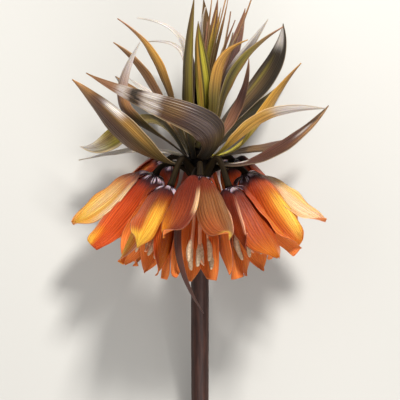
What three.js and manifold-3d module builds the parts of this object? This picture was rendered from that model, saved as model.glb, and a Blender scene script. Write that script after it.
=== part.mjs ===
// Crown imperial fritillary, as picked: a bare stalk that carries a ring of eight nodding bells under a
// crown of narrow leaves. It lies on a flat surface, on its lower bells, two lower leaves and its cut end.
// Millimetres. +Z is up, +Y runs from the cut end to the crown, and the origin is the bottom centre.
import * as THREE from "three";
import { mergeVertices } from "three/addons/utils/BufferGeometryUtils.js";
import Module from "manifold-3d";

const wasm = await Module();
wasm.setup();

// ---- Driving sizes ----
const STEM_RADIUS = 5.2;
const STEM_SWELL = 1.04; // the stalk's radius half way down, as a share of STEM_RADIUS
const STEM_LENGTH = 210; // from the cut end to the ring where the flower stalks leave
const STEM_TILT = THREE.MathUtils.degToRad(14);
const STEM_SIDES = 18;
const HUB_HEIGHT = STEM_RADIUS * Math.cos(STEM_TILT) + STEM_LENGTH * Math.sin(STEM_TILT);
const SEAT_GAP = 0.3; // between a piece and what carries it
// The hub is the stalk's top: it narrows from whorl to whorl and ends in a low dome. Points are [radius,
// height along the stalk].
const HUB_PROFILE = [
  [STEM_RADIUS, -16],
  [6.7, -6],
  [7.1, 0],
  [6.8, 5],
  [5.6, 9.5],
  [4.2, 13],
  [2.4, 15.6],
  [0, 16.5],
];

const TEPAL = {
  length: 54,
  halfWidth: 11.5,
  thickness: 0.8,
  halfAngle: 36, // degrees that half a tepal spans round the bell
  outerFlare: 9, // degrees by which the outer tepals' tips stand out more
  layer: 2, // how far the inner three tepals lie inside the outer three
  shoulder: 0.13, // share of the length where the tepals begin to overlap
  rootShare: 0.4, // half widths as shares of the widest: at the root, and at the blunt tip
  tipShare: 0.14,
  widest: 0.54, // share of the length where a tepal is widest
  tipPowers: [2.1, 0.85], // how full the outline stays beyond there, and how blunt its point is
  sideLoss: 0.06, // share by which a tepal at the bell's side is narrower
  rootCurve: 4, // radius of a tepal's section at its root, and the least beyond the shoulder
  leastCurve: 10.3,
  opening: 1.15, // radius of a tepal's section as a share of its distance from the bell's axis
  curveTurn: 0.22, // share of the length over which the section opens
  sectorShare: 0.54, // half the width that six tepals edge to edge leave each, as a share of that distance
  sectorSpread: 60, // how fast a tepal may pass it beyond the shoulder
  ripple: 0.9, // how far the margins wave, from this share of the length on
  rippleStart: 0.3,
  bendShare: 0.4, // share of the length over which a tepal's twist and the curl of its margins grow
  ripplePhases: [5.5, 2.1, 1.4], // how the wave runs along a tepal, from tepal to tepal, and across it
  sweepVariety: 5, // degrees by which any tepal may sweep round the bell, and by which its end may lift
  liftVariety: 3,
  stations: [0, 0.07, 0.16, 0.31, 0.5, 0.7, 0.87, 1],
  columns: 3,
};

// A bell's side. Slopes are in degrees away from its axis, and each has a part for the side that faces out
// from the stalk, where the bell opens most.
const BELL_SIDE = {
  start: [2, 1], // distance from the axis and along it where a tepal leaves the receptacle
  body: 6,
  bodyOut: 7,
  flare: 14,
  flareOut: 15,
  flarePower: 2.2,
  shoulder: 84,
  shoulderShare: 0.15,
  shoulderPower: 1.5,
};
const EDGE_GAP = 0.1; // from a tepal's root to the edge of its sector
const NEIGHBOUR_GAP = 1.1; // from a bell to the plane half way to its neighbour
const BELL_TO_AXIS = 8.5; // the nearest that a tepal comes to the stalk's axis
const PRESS_SOFTNESS = 1.2; // how gently a petal bends onto the surface below

// The receptacle that carries a bell's tepals, as [distance from the axis, distance along it].
const RECEPTACLE = [
  [0, 0],
  [2.6, 0],
  [4.2, 1.2],
  [3.6, 3],
  [0, 3],
];

const STAMENS = {
  ovaryRadius: 2.6,
  ovaryTop: 2.2,
  ovaryEnd: 5.2,
  filamentEnd: 26,
  stagger: 3.5, // by which every other filament is longer
  antherLength: 11,
  spread: [1.5, 3.2, 5.2, 6.4], // distances from the bell's axis: root, middle, anther's ends
  twist: 8, // degrees by which an anther leans round
  filamentRadii: [0.7, 0.5],
  antherRadii: [1.7, 1],
  styleLength: 36,
  styleRadii: [0.9, 1.3],
  clearance: 4, // above the surface, over the tepals pressed on it
};

const LEAF = {
  thickness: 1,
  leastThickness: 0.64,
  rootSwell: 1.3, // thickness at the root, and what it loses to the tip and to the margins, as shares
  tipLoss: 0.5,
  marginLoss: 0.35,
  seat: 0.9, // from the hub to the middle of a leaf's root
  rootShare: 0.32, // half widths as shares of the widest: at the root and the tip
  tipShare: 0.05,
  widest: 0.42, // share of the length where a leaf is widest, and how full it stays beyond
  tipPower: 2,
  rootTurn: 0.3, // share of the length over which a leaf leaves the hub's roundness
  rollTurn: 0.7, // share of the length over which it rolls
  cup: [0.18, 0.25], // depth of the section as a share of the half width: at the root and beyond
  axisPull: 1.1, // how much a leaf's upper side faces the crown's tip rather than its axis
  softness: 1.5, // how gently a leaf bends onto the surface below
  stations: [0, 0.09, 0.2, 0.32, 0.44, 0.56, 0.68, 0.8, 0.91, 1],
  columns: 2,
};

const FLOWER_STALK = {
  radius: 1.7,
  swell: 0.6, // added to the radius at both ends
  root: -4.5, // height on the stalk
  rootReach: 4.5, // distance of its root from the stalk's axis, inside the stalk's skin
  bend: [0.45, 0.04], // where it turns outwards, as a share of the reach, and what each mm of arch adds
  stations: [0, 0.25, 0.42, 0.58, 0.75, 0.93, 1],
  sides: 7,
};

const COLOURS = {
  stem: { color: 0x4a2b2b, roughness: 0.5 },
  flowerStalk: { color: 0x3c3a24, roughness: 0.5 },
  leaf: { color: 0x6f6238, roughness: 0.45 },
  tepal: { color: 0xe2651d, roughness: 0.55 },
  stamen: { color: 0xe8dcb4, roughness: 0.7 },
};

// The flower stalks and bells round the stalk: compass angle seen from the crown's end (90 is the upper
// side), reach and height of the bell's base, lean of the bell's axis out from the stalk, how high the
// flower stalk arches, the turn of its six tepals, their length where it isn't the usual one, and how much
// longer than usual its stamens and style are.
const BELLS = [
  { at: 90, reach: 23, height: -1.5, lean: 28, arch: 4, turn: 36, length: 61, longer: 11 },
  { at: 47, reach: 24, height: -9, lean: 26, arch: 6, turn: 73 },
  { at: 3, reach: 26, height: -4.5, lean: 24, arch: 0, turn: 57 },
  { at: -44, reach: 26, height: -1, lean: 28, arch: 2, turn: 22 },
  { at: -90, reach: 23, height: -3, lean: 22, arch: 2, turn: 30 },
  { at: -136, reach: 26, height: -1, lean: 33, arch: 2, turn: 10 },
  { at: 178, reach: 25.5, height: -5, lean: 24, arch: 1, turn: 3, length: 57 },
  { at: 134, reach: 24, height: -8.5, lean: 28, arch: 6, turn: -30 },
];

// The tepals that stand out from the rest, by their bell's number and their own. In degrees, the tepal's
// end sweeps round the bell and lifts away from its axis, the whole tepal opens away from it, and its
// blade twists. Its margins curl outwards by millimetres.
const POSES = [
  { bell: 1, tepal: 0, sweep: -10, lift: -9, open: 17, twist: 21, curl: 3 },
  { bell: 1, tepal: 5, sweep: 6, lift: 14, open: 15, twist: -25, curl: 0 },
  { bell: 2, tepal: 0, sweep: -13, lift: -4, open: 24, twist: 29, curl: 3.5 },
  { bell: 2, tepal: 5, sweep: 0, lift: 3, open: 0, twist: 0, curl: 0 },
  { bell: 3, tepal: 5, sweep: 7, lift: -4, open: 7, twist: -16, curl: 4 },
  { bell: 7, tepal: 0, sweep: 0, lift: -21, open: 6, twist: 26, curl: 3.8 },
  { bell: 7, tepal: 5, sweep: 8, lift: -15, open: 8, twist: -9, curl: 1.5 },
  { bell: 8, tepal: 0, sweep: -7, lift: -13, open: 18, twist: -22, curl: 1 },
  { bell: 8, tepal: 1, sweep: -16, lift: -20, open: -8, twist: 0, curl: 0 },
];

// The crown's leaves: compass angle and whorl of the root, then where the leaf is a third of the way, two
// thirds of the way and at its tip, as [across, along the stalk, towards the upper side] from the hub. The
// roll is in degrees. Some leaves are widest at a place of their own, or have a root of their own width.
const LEAVES = [
  { at: 165, whorl: 0, path: [[-29, 9, 12], [-51, 29, 10], [-72, 50, 3]], width: 21, roll: 46, root: 0.20 },
  { at: 80, whorl: 1, path: [[4, 25.5, 24], [-22, 38, 25], [-63, 55, 13]], width: 18, roll: 50,
    widest: 0.30, root: 0.42 },
  { at: 15, whorl: 0, path: [[31, 4, 11], [54, 17, 11], [73, 35, 2]], width: 13, roll: 30 },
  { at: 200, whorl: 0, path: [[-29, 24, -9], [-50, 13, -14], [-70, 9, -10]], width: 15, roll: -30,
    widest: 0.50, root: 0.26 },
  { at: 230, whorl: 0, path: [[-24, 5, -15], [-46, 3, -22], [-73, -3, -28]], width: 7, roll: 0 },
  { at: 252, whorl: 0, path: [[-13, 13, -30], [-31, 27, -51], [-53, 42, -69]], width: 12, roll: 0 },
  { at: 292, whorl: 0, path: [[17, 13, -30], [38, 26, -52], [57, 43, -70]], width: 12, roll: 0 },
  { at: 334, whorl: 0, path: [[27, 5, -14], [50, 8, -20], [70, 22, -26]], width: 11, roll: 0 },
  { at: 118, whorl: 1, path: [[-7, 33, 10], [-7, 61, 10], [-3, 97, 7]], width: 8, roll: 0, root: 0.38 },
  { at: 160, whorl: 1, path: [[-31, 23, 6], [-44, 39, 7], [-33, 72, 10]], width: 11, roll: 40 },
  { at: 28, whorl: 1, path: [[24, 19, 8.5], [40, 31, 14], [70, 35, 12]], width: 21, roll: -20,
    widest: 0.32, root: 0.27 },
  { at: 350, whorl: 1, path: [[26, 12, -8], [39, 32, -5], [57, 59, 1]], width: 13, roll: -40 },
  { at: 320, whorl: 1, path: [[19, 24, -20], [40, 47, -30], [49, 78, -34]], width: 15, roll: 20,
    widest: 0.60 },
  { at: 282, whorl: 1, path: [[9, 32, -22], [19, 58, -36], [27, 86, -46]], width: 12, roll: 0 },
  { at: 252, whorl: 1, path: [[-7, 28, -22], [-8, 56, -36], [-33, 66, -46]], width: 6, roll: 0 },
  { at: 217, whorl: 1, path: [[-19, 24, -20], [-28, 35, -26], [-43, 47, -30]], width: 7, roll: -20 },
  { at: 186, whorl: 2, path: [[-22, 34, -3], [-33, 54, -2], [-49, 70, -5]], width: 12, roll: 40 },
  { at: 146, whorl: 2, path: [[-17, 41, 6], [-27, 65, 6], [-46, 84, 2]], width: 8, roll: 30 },
  { at: 60, whorl: 2, path: [[8, 38, 11], [11, 60, 15], [26, 74, 20]], width: 7, roll: -20 },
  { at: 18, whorl: 2, path: [[14, 40, 4], [25, 62, 6], [46, 80, 8]], width: 9, roll: -30 },
  { at: 336, whorl: 2, path: [[17, 22, -8], [25, 39, -10], [28, 60, -12]], width: 8, roll: 20 },
  { at: 270, whorl: 2, path: [[1, 37, -14], [3, 65, -22], [2, 93, -28]], width: 11, roll: 0 },
  { at: 220, whorl: 3, path: [[-7, 38, -8], [-9, 67, -11], [-36, 83, -14]], width: 8, roll: 0 },
  { at: 106, whorl: 3, path: [[3, 36, 6], [1, 60, 8], [-1, 83, 8]], width: 9, roll: 0 },
  { at: 44, whorl: 3, path: [[8, 40, 7], [13, 65, 5], [17, 88, 4]], width: 7, roll: 0 },
  { at: 352, whorl: 3, path: [[10, 40, -2], [19, 67, -3], [29, 95, -4]], width: 9, roll: -20 },
  { at: 314, whorl: 3, path: [[10, 37, -9], [24, 60, -13], [39, 82, -16]], width: 9, roll: 20 },
  { at: 172, whorl: 4, path: [[-3, 35, -1], [-2, 60, -1], [3, 90, -2]], width: 8, roll: 0 },
  { at: 276, whorl: 4, path: [[3, 43, -6], [7, 70, -9], [10, 94, -11]], width: 8, roll: 0 },
];
const WHORL_HEIGHTS = [2, 5, 8, 11, 13.5];

// ---- Frames ----
// Head coordinates: x across, y along the stalk to the crown, z to the flower's upper side, from the hub.
const UP_IN_HEAD = new THREE.Vector3(0, Math.sin(STEM_TILT), Math.cos(STEM_TILT));
const STALK_AXIS = new THREE.Vector3(0, 1, 0);

function compass(degrees) {
  const a = THREE.MathUtils.degToRad(degrees);
  return new THREE.Vector3(Math.cos(a), 0, Math.sin(a));
}

function smooth(value) {
  const v = THREE.MathUtils.clamp(value, 0, 1);
  return v * v * (3 - 2 * v);
}

// Leaves a value alone up to a share of its limit, then bends it so that it never passes the limit.
function softLimit(value, limit, free = 0.55) {
  const start = free * limit;
  const room = limit - start;
  const over = Math.abs(value) - start;
  return over <= 0 ? value : Math.sign(value) * (start + room * (1 - Math.exp(-over / room)));
}

// Lifts a point of a petal or leaf onto the surface that the flower lies on.
function restOnSurface(point, clearance, softness) {
  const height = HUB_HEIGHT + point.dot(UP_IN_HEAD);
  const rise = height - clearance;
  if (rise >= 2 * softness) return point;
  const lifted = rise <= -2 * softness ? 0 : (rise + 2 * softness) ** 2 / (8 * softness);
  return point.addScaledVector(UP_IN_HEAD, clearance + lifted - height);
}

// ---- Solids ----
function toSolid(geometry) {
  const bare = geometry.clone();
  bare.deleteAttribute("normal");
  bare.deleteAttribute("uv");
  const merged = mergeVertices(bare, 1e-4);
  return new wasm.Manifold(
    new wasm.Mesh({
      numProp: 3,
      vertProperties: merged.attributes.position.array,
      triVerts: new Uint32Array(merged.index.array),
    }),
  );
}

function toGeometry(solid) {
  const mesh = solid.getMesh();
  const geometry = new THREE.BufferGeometry();
  geometry.setAttribute("position", new THREE.BufferAttribute(mesh.vertProperties, 3));
  geometry.setIndex(new THREE.BufferAttribute(mesh.triVerts, 1));
  geometry.computeVertexNormals();
  return geometry;
}

// Joins solids, without any loose scrap that the joining leaves.
function fuse(solids) {
  const bodies = solids.reduce((whole, next) => whole.add(next)).decompose();
  return bodies.reduce((largest, body) => (body.volume() > largest.volume() ? body : largest));
}

// A closed blade on a curved mid-surface: surface(s, t) with s from 0 at the root to 1 at the tip and t
// from -1 to 1 across. Both faces are split into the same triangles.
function bladeSolid(surface, thickness, stations, across) {
  const along = stations.length - 1;
  const step = 1e-3;
  const positions = [];
  for (const side of [1, -1]) {
    for (let i = 0; i <= along; i++) {
      for (let j = 0; j <= across; j++) {
        const s = stations[i];
        const t = (2 * j) / across - 1;
        const alongIt = surface(Math.min(1, s + step), t).sub(surface(Math.max(0, s - step), t));
        const acrossIt = surface(s, Math.min(1, t + step)).sub(surface(s, Math.max(-1, t - step)));
        const normal = alongIt.cross(acrossIt).normalize();
        const point = surface(s, t).addScaledVector(normal, (side * thickness(s, t)) / 2);
        positions.push(point.x, point.y, point.z);
      }
    }
  }
  const perFace = (along + 1) * (across + 1);
  const at = (i, j) => i * (across + 1) + j;
  const index = [];
  const quad = (a, b, c, d) => index.push(a, b, c, a, c, d);
  for (let i = 0; i < along; i++) {
    for (let j = 0; j < across; j++) {
      const [a, b, c, d] = [at(i, j), at(i + 1, j), at(i + 1, j + 1), at(i, j + 1)];
      quad(a, b, c, d);
      index.push(a + perFace, c + perFace, b + perFace, a + perFace, d + perFace, c + perFace);
    }
    quad(at(i + 1, 0), at(i, 0), at(i, 0) + perFace, at(i + 1, 0) + perFace);
    quad(at(i, across), at(i + 1, across), at(i + 1, across) + perFace, at(i, across) + perFace);
  }
  for (let j = 0; j < across; j++) {
    quad(at(0, j), at(0, j + 1), at(0, j + 1) + perFace, at(0, j) + perFace);
    quad(at(along, j + 1), at(along, j), at(along, j) + perFace, at(along, j + 1) + perFace);
  }
  const geometry = new THREE.BufferGeometry();
  geometry.setAttribute("position", new THREE.Float32BufferAttribute(positions, 3));
  geometry.setIndex(index);
  return toSolid(geometry);
}

// A round rod along a curve, from stations of [share of the way, radius].
const ROD_START_SIDE = new THREE.Vector3(0.31, 0.17, 0.93); // a direction that no rod runs along
function rodSolid(curve, stations, sides) {
  const last = stations.length - 1;
  const positions = [];
  let normal = ROD_START_SIDE;
  for (const [share, radius] of stations) {
    const tangent = curve.getTangentAt(share);
    normal = normal.clone().addScaledVector(tangent, -normal.dot(tangent)).normalize();
    const binormal = new THREE.Vector3().crossVectors(tangent, normal);
    for (let k = 0; k < sides; k++) {
      const a = (2 * Math.PI * k) / sides;
      const point = curve.getPointAt(share);
      point.addScaledVector(normal, radius * Math.cos(a)).addScaledVector(binormal, radius * Math.sin(a));
      positions.push(point.x, point.y, point.z);
    }
  }
  const index = [];
  for (let i = 0; i < last; i++) {
    for (let k = 0; k < sides; k++) {
      const [a, b] = [i * sides + k, i * sides + ((k + 1) % sides)];
      index.push(a, b, b + sides, a, b + sides, a + sides);
    }
  }
  for (let k = 1; k < sides - 1; k++) {
    index.push(0, k + 1, k, last * sides, last * sides + k, last * sides + k + 1);
  }
  const geometry = new THREE.BufferGeometry();
  geometry.setAttribute("position", new THREE.Float32BufferAttribute(positions, 3));
  geometry.setIndex(index);
  return toSolid(geometry);
}

// ---- Stalk and hub ----
function hubRadius(height) {
  const above = HUB_PROFILE.findIndex(([, y]) => y >= height);
  const [[r0, y0], [r1, y1]] = [HUB_PROFILE[above - 1], HUB_PROFILE[above]];
  return r0 + ((r1 - r0) * (height - y0)) / (y1 - y0);
}

function stemSolid(grown = 0) {
  const profile = [
    [0, -STEM_LENGTH - grown],
    [STEM_RADIUS + grown, -STEM_LENGTH - grown],
    [STEM_RADIUS * STEM_SWELL + grown, -STEM_LENGTH / 2],
    ...HUB_PROFILE.map(([r, y], i) => (i < HUB_PROFILE.length - 1 ? [r + grown, y] : [r, y + grown])),
  ];
  return toSolid(new THREE.LatheGeometry(profile.map(([r, y]) => new THREE.Vector2(r, y)), STEM_SIDES));
}

// ---- Leaves ----
// The cubic that passes through four points at 0, a third, two thirds and 1.
function cubicThrough(p0, p1, p2, p3) {
  const mix = (...shares) =>
    [p0, p1, p2, p3].reduce((sum, point, i) => sum.addScaledVector(point, shares[i]), new THREE.Vector3());
  return new THREE.CubicBezierCurve3(p0, mix(-5 / 6, 3, -1.5, 1 / 3), mix(1 / 3, -1.5, 3, -5 / 6), p3);
}

// Half the leaf's width as a share of its widest: it widens from the root, then runs to a long point.
function leafOutline(s, rootShare, widest) {
  if (s < widest) return THREE.MathUtils.lerp(rootShare, 1, smooth(s / widest));
  return Math.max(LEAF.tipShare, 1 - ((s - widest) / (1 - widest)) ** LEAF.tipPower);
}

function leafSurface(leaf) {
  const height = WHORL_HEIGHTS[leaf.whorl];
  const out = compass(leaf.at);
  const root = out.clone().multiplyScalar(hubRadius(height) + LEAF.seat).setY(height);
  const spine = cubicThrough(root, ...leaf.path.map((place) => new THREE.Vector3(...place)));
  const roundHub = compass(leaf.at - 90);
  const roll = THREE.MathUtils.degToRad(leaf.roll);
  return (s, t) => {
    const centre = spine.getPoint(s);
    const tangent = spine.getTangent(s);
    const outward = centre.clone().setY(0).normalize();
    const facing = STALK_AXIS.clone().multiplyScalar(LEAF.axisPull).sub(outward);
    // The root lies round the hub, and the blade turns its upper side to the crown's axis as it leaves it.
    const sideways = new THREE.Vector3().crossVectors(facing, tangent).normalize();
    sideways.lerp(roundHub, 1 - smooth(s / LEAF.rootTurn));
    sideways.addScaledVector(tangent, -sideways.dot(tangent)).normalize();
    const upper = new THREE.Vector3().crossVectors(tangent, sideways);
    const turn = roll * smooth(s / LEAF.rollTurn);
    const half = (leaf.width / 2) * leafOutline(s, leaf.root ?? LEAF.rootShare, leaf.widest ?? LEAF.widest);
    const cup = THREE.MathUtils.lerp(...LEAF.cup, smooth(2 * s)) * half * t * t;
    const point = centre
      .addScaledVector(sideways, half * t * Math.cos(turn) - cup * Math.sin(turn))
      .addScaledVector(upper, cup * Math.cos(turn) + half * t * Math.sin(turn));
    return restOnSurface(point, LEAF.thickness / 2, LEAF.softness);
  };
}

function leafSolid(leaf) {
  const thickness = (s, t) => {
    const share = (LEAF.rootSwell - LEAF.tipLoss * s) * (1 - LEAF.marginLoss * t * t);
    return Math.max(LEAF.leastThickness, LEAF.thickness * share);
  };
  return bladeSolid(leafSurface(leaf), thickness, LEAF.stations, LEAF.columns);
}

// ---- Bells ----
// A bell's own directions: down its axis, out from the stalk, and round it.
function bellFrame(bell) {
  const out = compass(bell.at);
  const lean = THREE.MathUtils.degToRad(bell.lean);
  return {
    base: out.clone().multiplyScalar(bell.reach).setY(bell.height),
    axis: STALK_AXIS.clone().multiplyScalar(-Math.cos(lean)).addScaledVector(out, Math.sin(lean)),
    outward: out.clone().multiplyScalar(Math.cos(lean)).addScaledVector(STALK_AXIS, Math.sin(lean)),
    round: compass(bell.at + 90),
  };
}

// The bell's side at a bearing round its axis, as [distance from the axis, distance along it, slope away
// from it] at a share s of the length: it leaves the top nearly square to the axis, turns over a rounded
// shoulder, runs down and flares. It flares most where it faces out from the stalk.
const SIDE_STEPS = 40; // steps in which a full length is added up
function bellSide(s, length, facing, opened, extraFlare) {
  const body = BELL_SIDE.body + BELL_SIDE.bodyOut * facing + opened;
  const flare = BELL_SIDE.flare + BELL_SIDE.flareOut * facing + extraFlare;
  const slopeAt = (part) => {
    const turned = Math.exp(-((part / BELL_SIDE.shoulderShare) ** BELL_SIDE.shoulderPower));
    const shoulder = (BELL_SIDE.shoulder - body) * turned;
    return THREE.MathUtils.degToRad(body + flare * part ** BELL_SIDE.flarePower + shoulder);
  };
  const steps = Math.max(1, Math.ceil(s * SIDE_STEPS));
  const stride = (length * s) / steps;
  let [fromAxis, along] = BELL_SIDE.start;
  for (let i = 0; i < steps; i++) {
    const slope = slopeAt((s * (i + 0.5)) / steps);
    fromAxis += stride * Math.sin(slope);
    along += stride * Math.cos(slope);
  }
  return [fromAxis, along, slopeAt(s)];
}

// Half the tepal's width as a share of its widest: broad from the shoulder, then rounded to a blunt point.
function tepalOutline(s) {
  if (s < TEPAL.widest) {
    return TEPAL.rootShare + (1 - TEPAL.rootShare) * Math.sin((Math.PI / 2) * (s / TEPAL.widest)) ** 0.9;
  }
  const [fullness, bluntness] = TEPAL.tipPowers;
  const beyond = (s - TEPAL.widest) / (1 - TEPAL.widest);
  return Math.max(TEPAL.tipShare, (1 - beyond ** fullness) ** bluntness);
}

// The half planes that part a bell from its neighbours, as slopes on either side of its own plane.
function neighbourSlopes(index) {
  const turnTo = (other) => {
    const gap = THREE.MathUtils.euclideanModulo(other.at - BELLS[index].at + 180, 360) - 180;
    return Math.tan(THREE.MathUtils.degToRad(Math.abs(gap) / 2));
  };
  const count = BELLS.length;
  return { ahead: turnTo(BELLS[(index + count - 1) % count]), behind: turnTo(BELLS[(index + 1) % count]) };
}

// Presses a point of a bell between its neighbours' planes, off the stalk and onto the surface below. The
// layer is how much further in the inner tepals stay.
function crowd(point, bell, slopes, layer) {
  const out = compass(bell.at);
  const round = compass(bell.at + 90);
  const reach = point.dot(out);
  const side = point.dot(round);
  const nearest = BELL_TO_AXIS + layer;
  const kept = reach > 2 * nearest ? reach : nearest + nearest * Math.exp((reach - 2 * nearest) / nearest);
  const limit = kept * (side > 0 ? slopes.ahead : slopes.behind) - NEIGHBOUR_GAP - layer;
  const pressed = softLimit(side, limit);
  point.addScaledVector(out, kept - reach).addScaledVector(round, pressed - side);
  return restOnSurface(point, TEPAL.thickness / 2 + layer, PRESS_SOFTNESS);
}

// The pose of a tepal. One that has none of its own sweeps and lifts a little, unlike its neighbours.
function poseOf(bell, number) {
  const own = POSES.find((pose) => BELLS[pose.bell - 1] === bell && pose.tepal === number);
  if (own) return own;
  const sweep = TEPAL.sweepVariety * Math.sin(2.4 * number + bell.at);
  const lift = TEPAL.liftVariety * Math.sin(1.7 * number + 3 * bell.at);
  return { sweep, lift, open: 0, twist: 0, curl: 0 };
}

function tepalSurface(bell, index, number) {
  const frame = bellFrame(bell);
  const slopes = neighbourSlopes(index);
  const inner = number % 2 === 1;
  const start = THREE.MathUtils.degToRad(60 * number + bell.turn);
  const halfAngle = THREE.MathUtils.degToRad(TEPAL.halfAngle);
  const pose = poseOf(bell, number);
  const [sweep, twist] = [pose.sweep, pose.twist].map(THREE.MathUtils.degToRad);
  const flare = pose.lift + (inner ? 0 : TEPAL.outerFlare);
  const [alongPhase, tepalPhase, acrossPhase] = TEPAL.ripplePhases;
  return (s, t) => {
    const around = start + sweep * s;
    const [cos, sin] = [Math.cos(around), Math.sin(around)];
    const radial = frame.outward.clone().multiplyScalar(cos).addScaledVector(frame.round, sin);
    const tangent = frame.round.clone().multiplyScalar(cos).addScaledVector(frame.outward, -sin);
    const width = TEPAL.halfWidth * (1 - TEPAL.sideLoss * (1 - cos));
    const facing = Math.cos(around + halfAngle * t);
    const [fromAxis, along, slope] = bellSide(s, bell.length ?? TEPAL.length, facing, pose.open, flare);
    const layer = inner ? TEPAL.layer * smooth(s / TEPAL.shoulder) : 0;
    const opened = Math.max(TEPAL.opening * fromAxis, TEPAL.leastCurve);
    const curve = THREE.MathUtils.lerp(TEPAL.rootCurve, opened, smooth(s / TEPAL.curveTurn));
    // Up to the shoulder the six lie edge to edge; beyond it they overlap in their two layers.
    const past = Math.max(0, s - TEPAL.shoulder);
    const sector = TEPAL.sectorShare * fromAxis - EDGE_GAP + TEPAL.sectorSpread * past;
    const arc = (t * Math.min(width * tepalOutline(s), sector)) / curve;
    const wave = Math.sin(alongPhase * s + tepalPhase * number + bell.at + acrossPhase * t);
    const ripple = TEPAL.ripple * t * t * smooth(2 * (s - TEPAL.rippleStart)) * wave;
    const bent = smooth(s / TEPAL.bendShare);
    const deep = layer + curve * (1 - Math.cos(arc)) - ripple - pose.curl * t * t * bent;
    const wide = curve * Math.sin(arc);
    const [twistCos, twistSin] = [Math.cos(twist * bent), Math.sin(twist * bent)];
    const inward = deep * twistCos - wide * twistSin;
    const point = frame.base
      .clone()
      .addScaledVector(frame.axis, along + inward * Math.sin(slope))
      .addScaledVector(radial, fromAxis - inward * Math.cos(slope))
      .addScaledVector(tangent, wide * twistCos + deep * twistSin);
    return crowd(point, bell, slopes, layer);
  };
}

// A six-sided solid turned about the bell's axis, from a profile of [distance from the axis, distance along
// it], with a flat side under each tepal.
function turnedOnBell(bell, profile) {
  const frame = bellFrame(bell);
  const points = profile.map(([r, a]) => new THREE.Vector2(r, -a)).reverse();
  const lathe = new THREE.LatheGeometry(points, 6, -THREE.MathUtils.degToRad(bell.turn));
  const basis = new THREE.Matrix4().makeBasis(frame.outward, frame.axis.clone().negate(), frame.round);
  lathe.applyMatrix4(basis.setPosition(frame.base));
  return toSolid(lathe);
}

function bellSolid(bell, index) {
  const tepals = [0, 1, 2, 3, 4, 5].map((number) =>
    bladeSolid(tepalSurface(bell, index, number), () => TEPAL.thickness, TEPAL.stations, TEPAL.columns),
  );
  return fuse([turnedOnBell(bell, RECEPTACLE), ...tepals]);
}

// ---- Stamens and style ----
// Six stamens stand round the style on the ovary, which sits under the receptacle.
function stamensSolid(bell) {
  const frame = bellFrame(bell);
  const place = (angle, distance, along) => {
    const a = THREE.MathUtils.degToRad(angle + bell.turn);
    const point = frame.base
      .clone()
      .addScaledVector(frame.axis, along)
      .addScaledVector(frame.outward, distance * Math.cos(a))
      .addScaledVector(frame.round, distance * Math.sin(a));
    return restOnSurface(point, STAMENS.clearance, PRESS_SOFTNESS);
  };
  const top = RECEPTACLE.at(-1)[1] + SEAT_GAP;
  const { ovaryRadius, ovaryTop, ovaryEnd, antherLength, spread } = STAMENS;
  const root = top + 1;
  const longer = bell.longer ?? 0;
  const style = new THREE.LineCurve3(place(0, 0, root), place(0, 0.8, STAMENS.styleLength + longer));
  const [styleRoot, styleTip] = STAMENS.styleRadii;
  const pieces = [
    turnedOnBell(bell, [[0, top], [ovaryRadius, top], [ovaryTop, ovaryEnd], [0, ovaryEnd]]),
    rodSolid(style, [[0, styleRoot], [1, styleTip]], 4),
  ];
  const [filamentRoot, filamentTip] = STAMENS.filamentRadii;
  const [antherRoot, antherTip] = STAMENS.antherRadii;
  for (let k = 0; k < 6; k++) {
    const angle = 60 * k + 30;
    const end = STAMENS.filamentEnd + longer + (k % 2) * STAMENS.stagger;
    const stamen = new THREE.CatmullRomCurve3([
      place(angle, spread[0], root),
      place(angle, spread[1], end / 2),
      place(angle, spread[2], end),
      place(angle + STAMENS.twist, spread[3], end + antherLength),
    ]);
    const anther = end / (end + antherLength);
    const filament = [[0, filamentRoot], [anther - 0.02, filamentTip]];
    pieces.push(rodSolid(stamen, [...filament, [anther + 0.05, antherRoot], [1, antherTip]], 3 + (k % 2)));
  }
  return fuse(pieces);
}

// ---- Flower stalks ----
// Each leaves the hub, arches over and meets the bell's top square to it.
function flowerStalkSolid(bell, stemGrown) {
  const frame = bellFrame(bell);
  const out = compass(bell.at);
  const end = frame.base.clone().addScaledVector(frame.axis, -SEAT_GAP);
  // The height of both handles that brings the middle of the curve up to the arch.
  const handle = (8 * bell.arch - FLOWER_STALK.root - bell.height) / 6;
  const drop = (handle - bell.height) / -frame.axis.y;
  const bend = FLOWER_STALK.bend[0] + FLOWER_STALK.bend[1] * bell.arch;
  const curve = new THREE.CubicBezierCurve3(
    out.clone().multiplyScalar(FLOWER_STALK.rootReach).setY(FLOWER_STALK.root),
    out.clone().multiplyScalar(bell.reach * bend).setY(handle),
    end.clone().addScaledVector(frame.axis, -drop),
    end,
  );
  const ends = [FLOWER_STALK.stations[0], FLOWER_STALK.stations.at(-1)];
  const stations = FLOWER_STALK.stations.map((share) => [
    share,
    FLOWER_STALK.radius + (ends.includes(share) ? FLOWER_STALK.swell : 0),
  ]);
  return rodSolid(curve, stations, FLOWER_STALK.sides).subtract(stemGrown);
}

// ---- The flower ----
const flower = new THREE.Group();
flower.rotation.x = STEM_TILT;
flower.position.z = HUB_HEIGHT;

function addPiece(name, solid, finish) {
  const mesh = new THREE.Mesh(toGeometry(solid), new THREE.MeshStandardMaterial({ ...finish, metalness: 0 }));
  mesh.name = name;
  flower.add(mesh);
}

const stemGrown = stemSolid(SEAT_GAP);
addPiece("stem", stemSolid(), COLOURS.stem);
BELLS.forEach((bell, i) => {
  addPiece(`flower_stalk_${i + 1}`, flowerStalkSolid(bell, stemGrown), COLOURS.flowerStalk);
  addPiece(`bell_${i + 1}`, bellSolid(bell, i), COLOURS.tepal);
  addPiece(`stamens_${i + 1}`, stamensSolid(bell), COLOURS.stamen);
});
LEAVES.forEach((leaf, i) => {
  addPiece(`crown_leaf_${String(i + 1).padStart(2, "0")}`, leafSolid(leaf), COLOURS.leaf);
});

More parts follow.
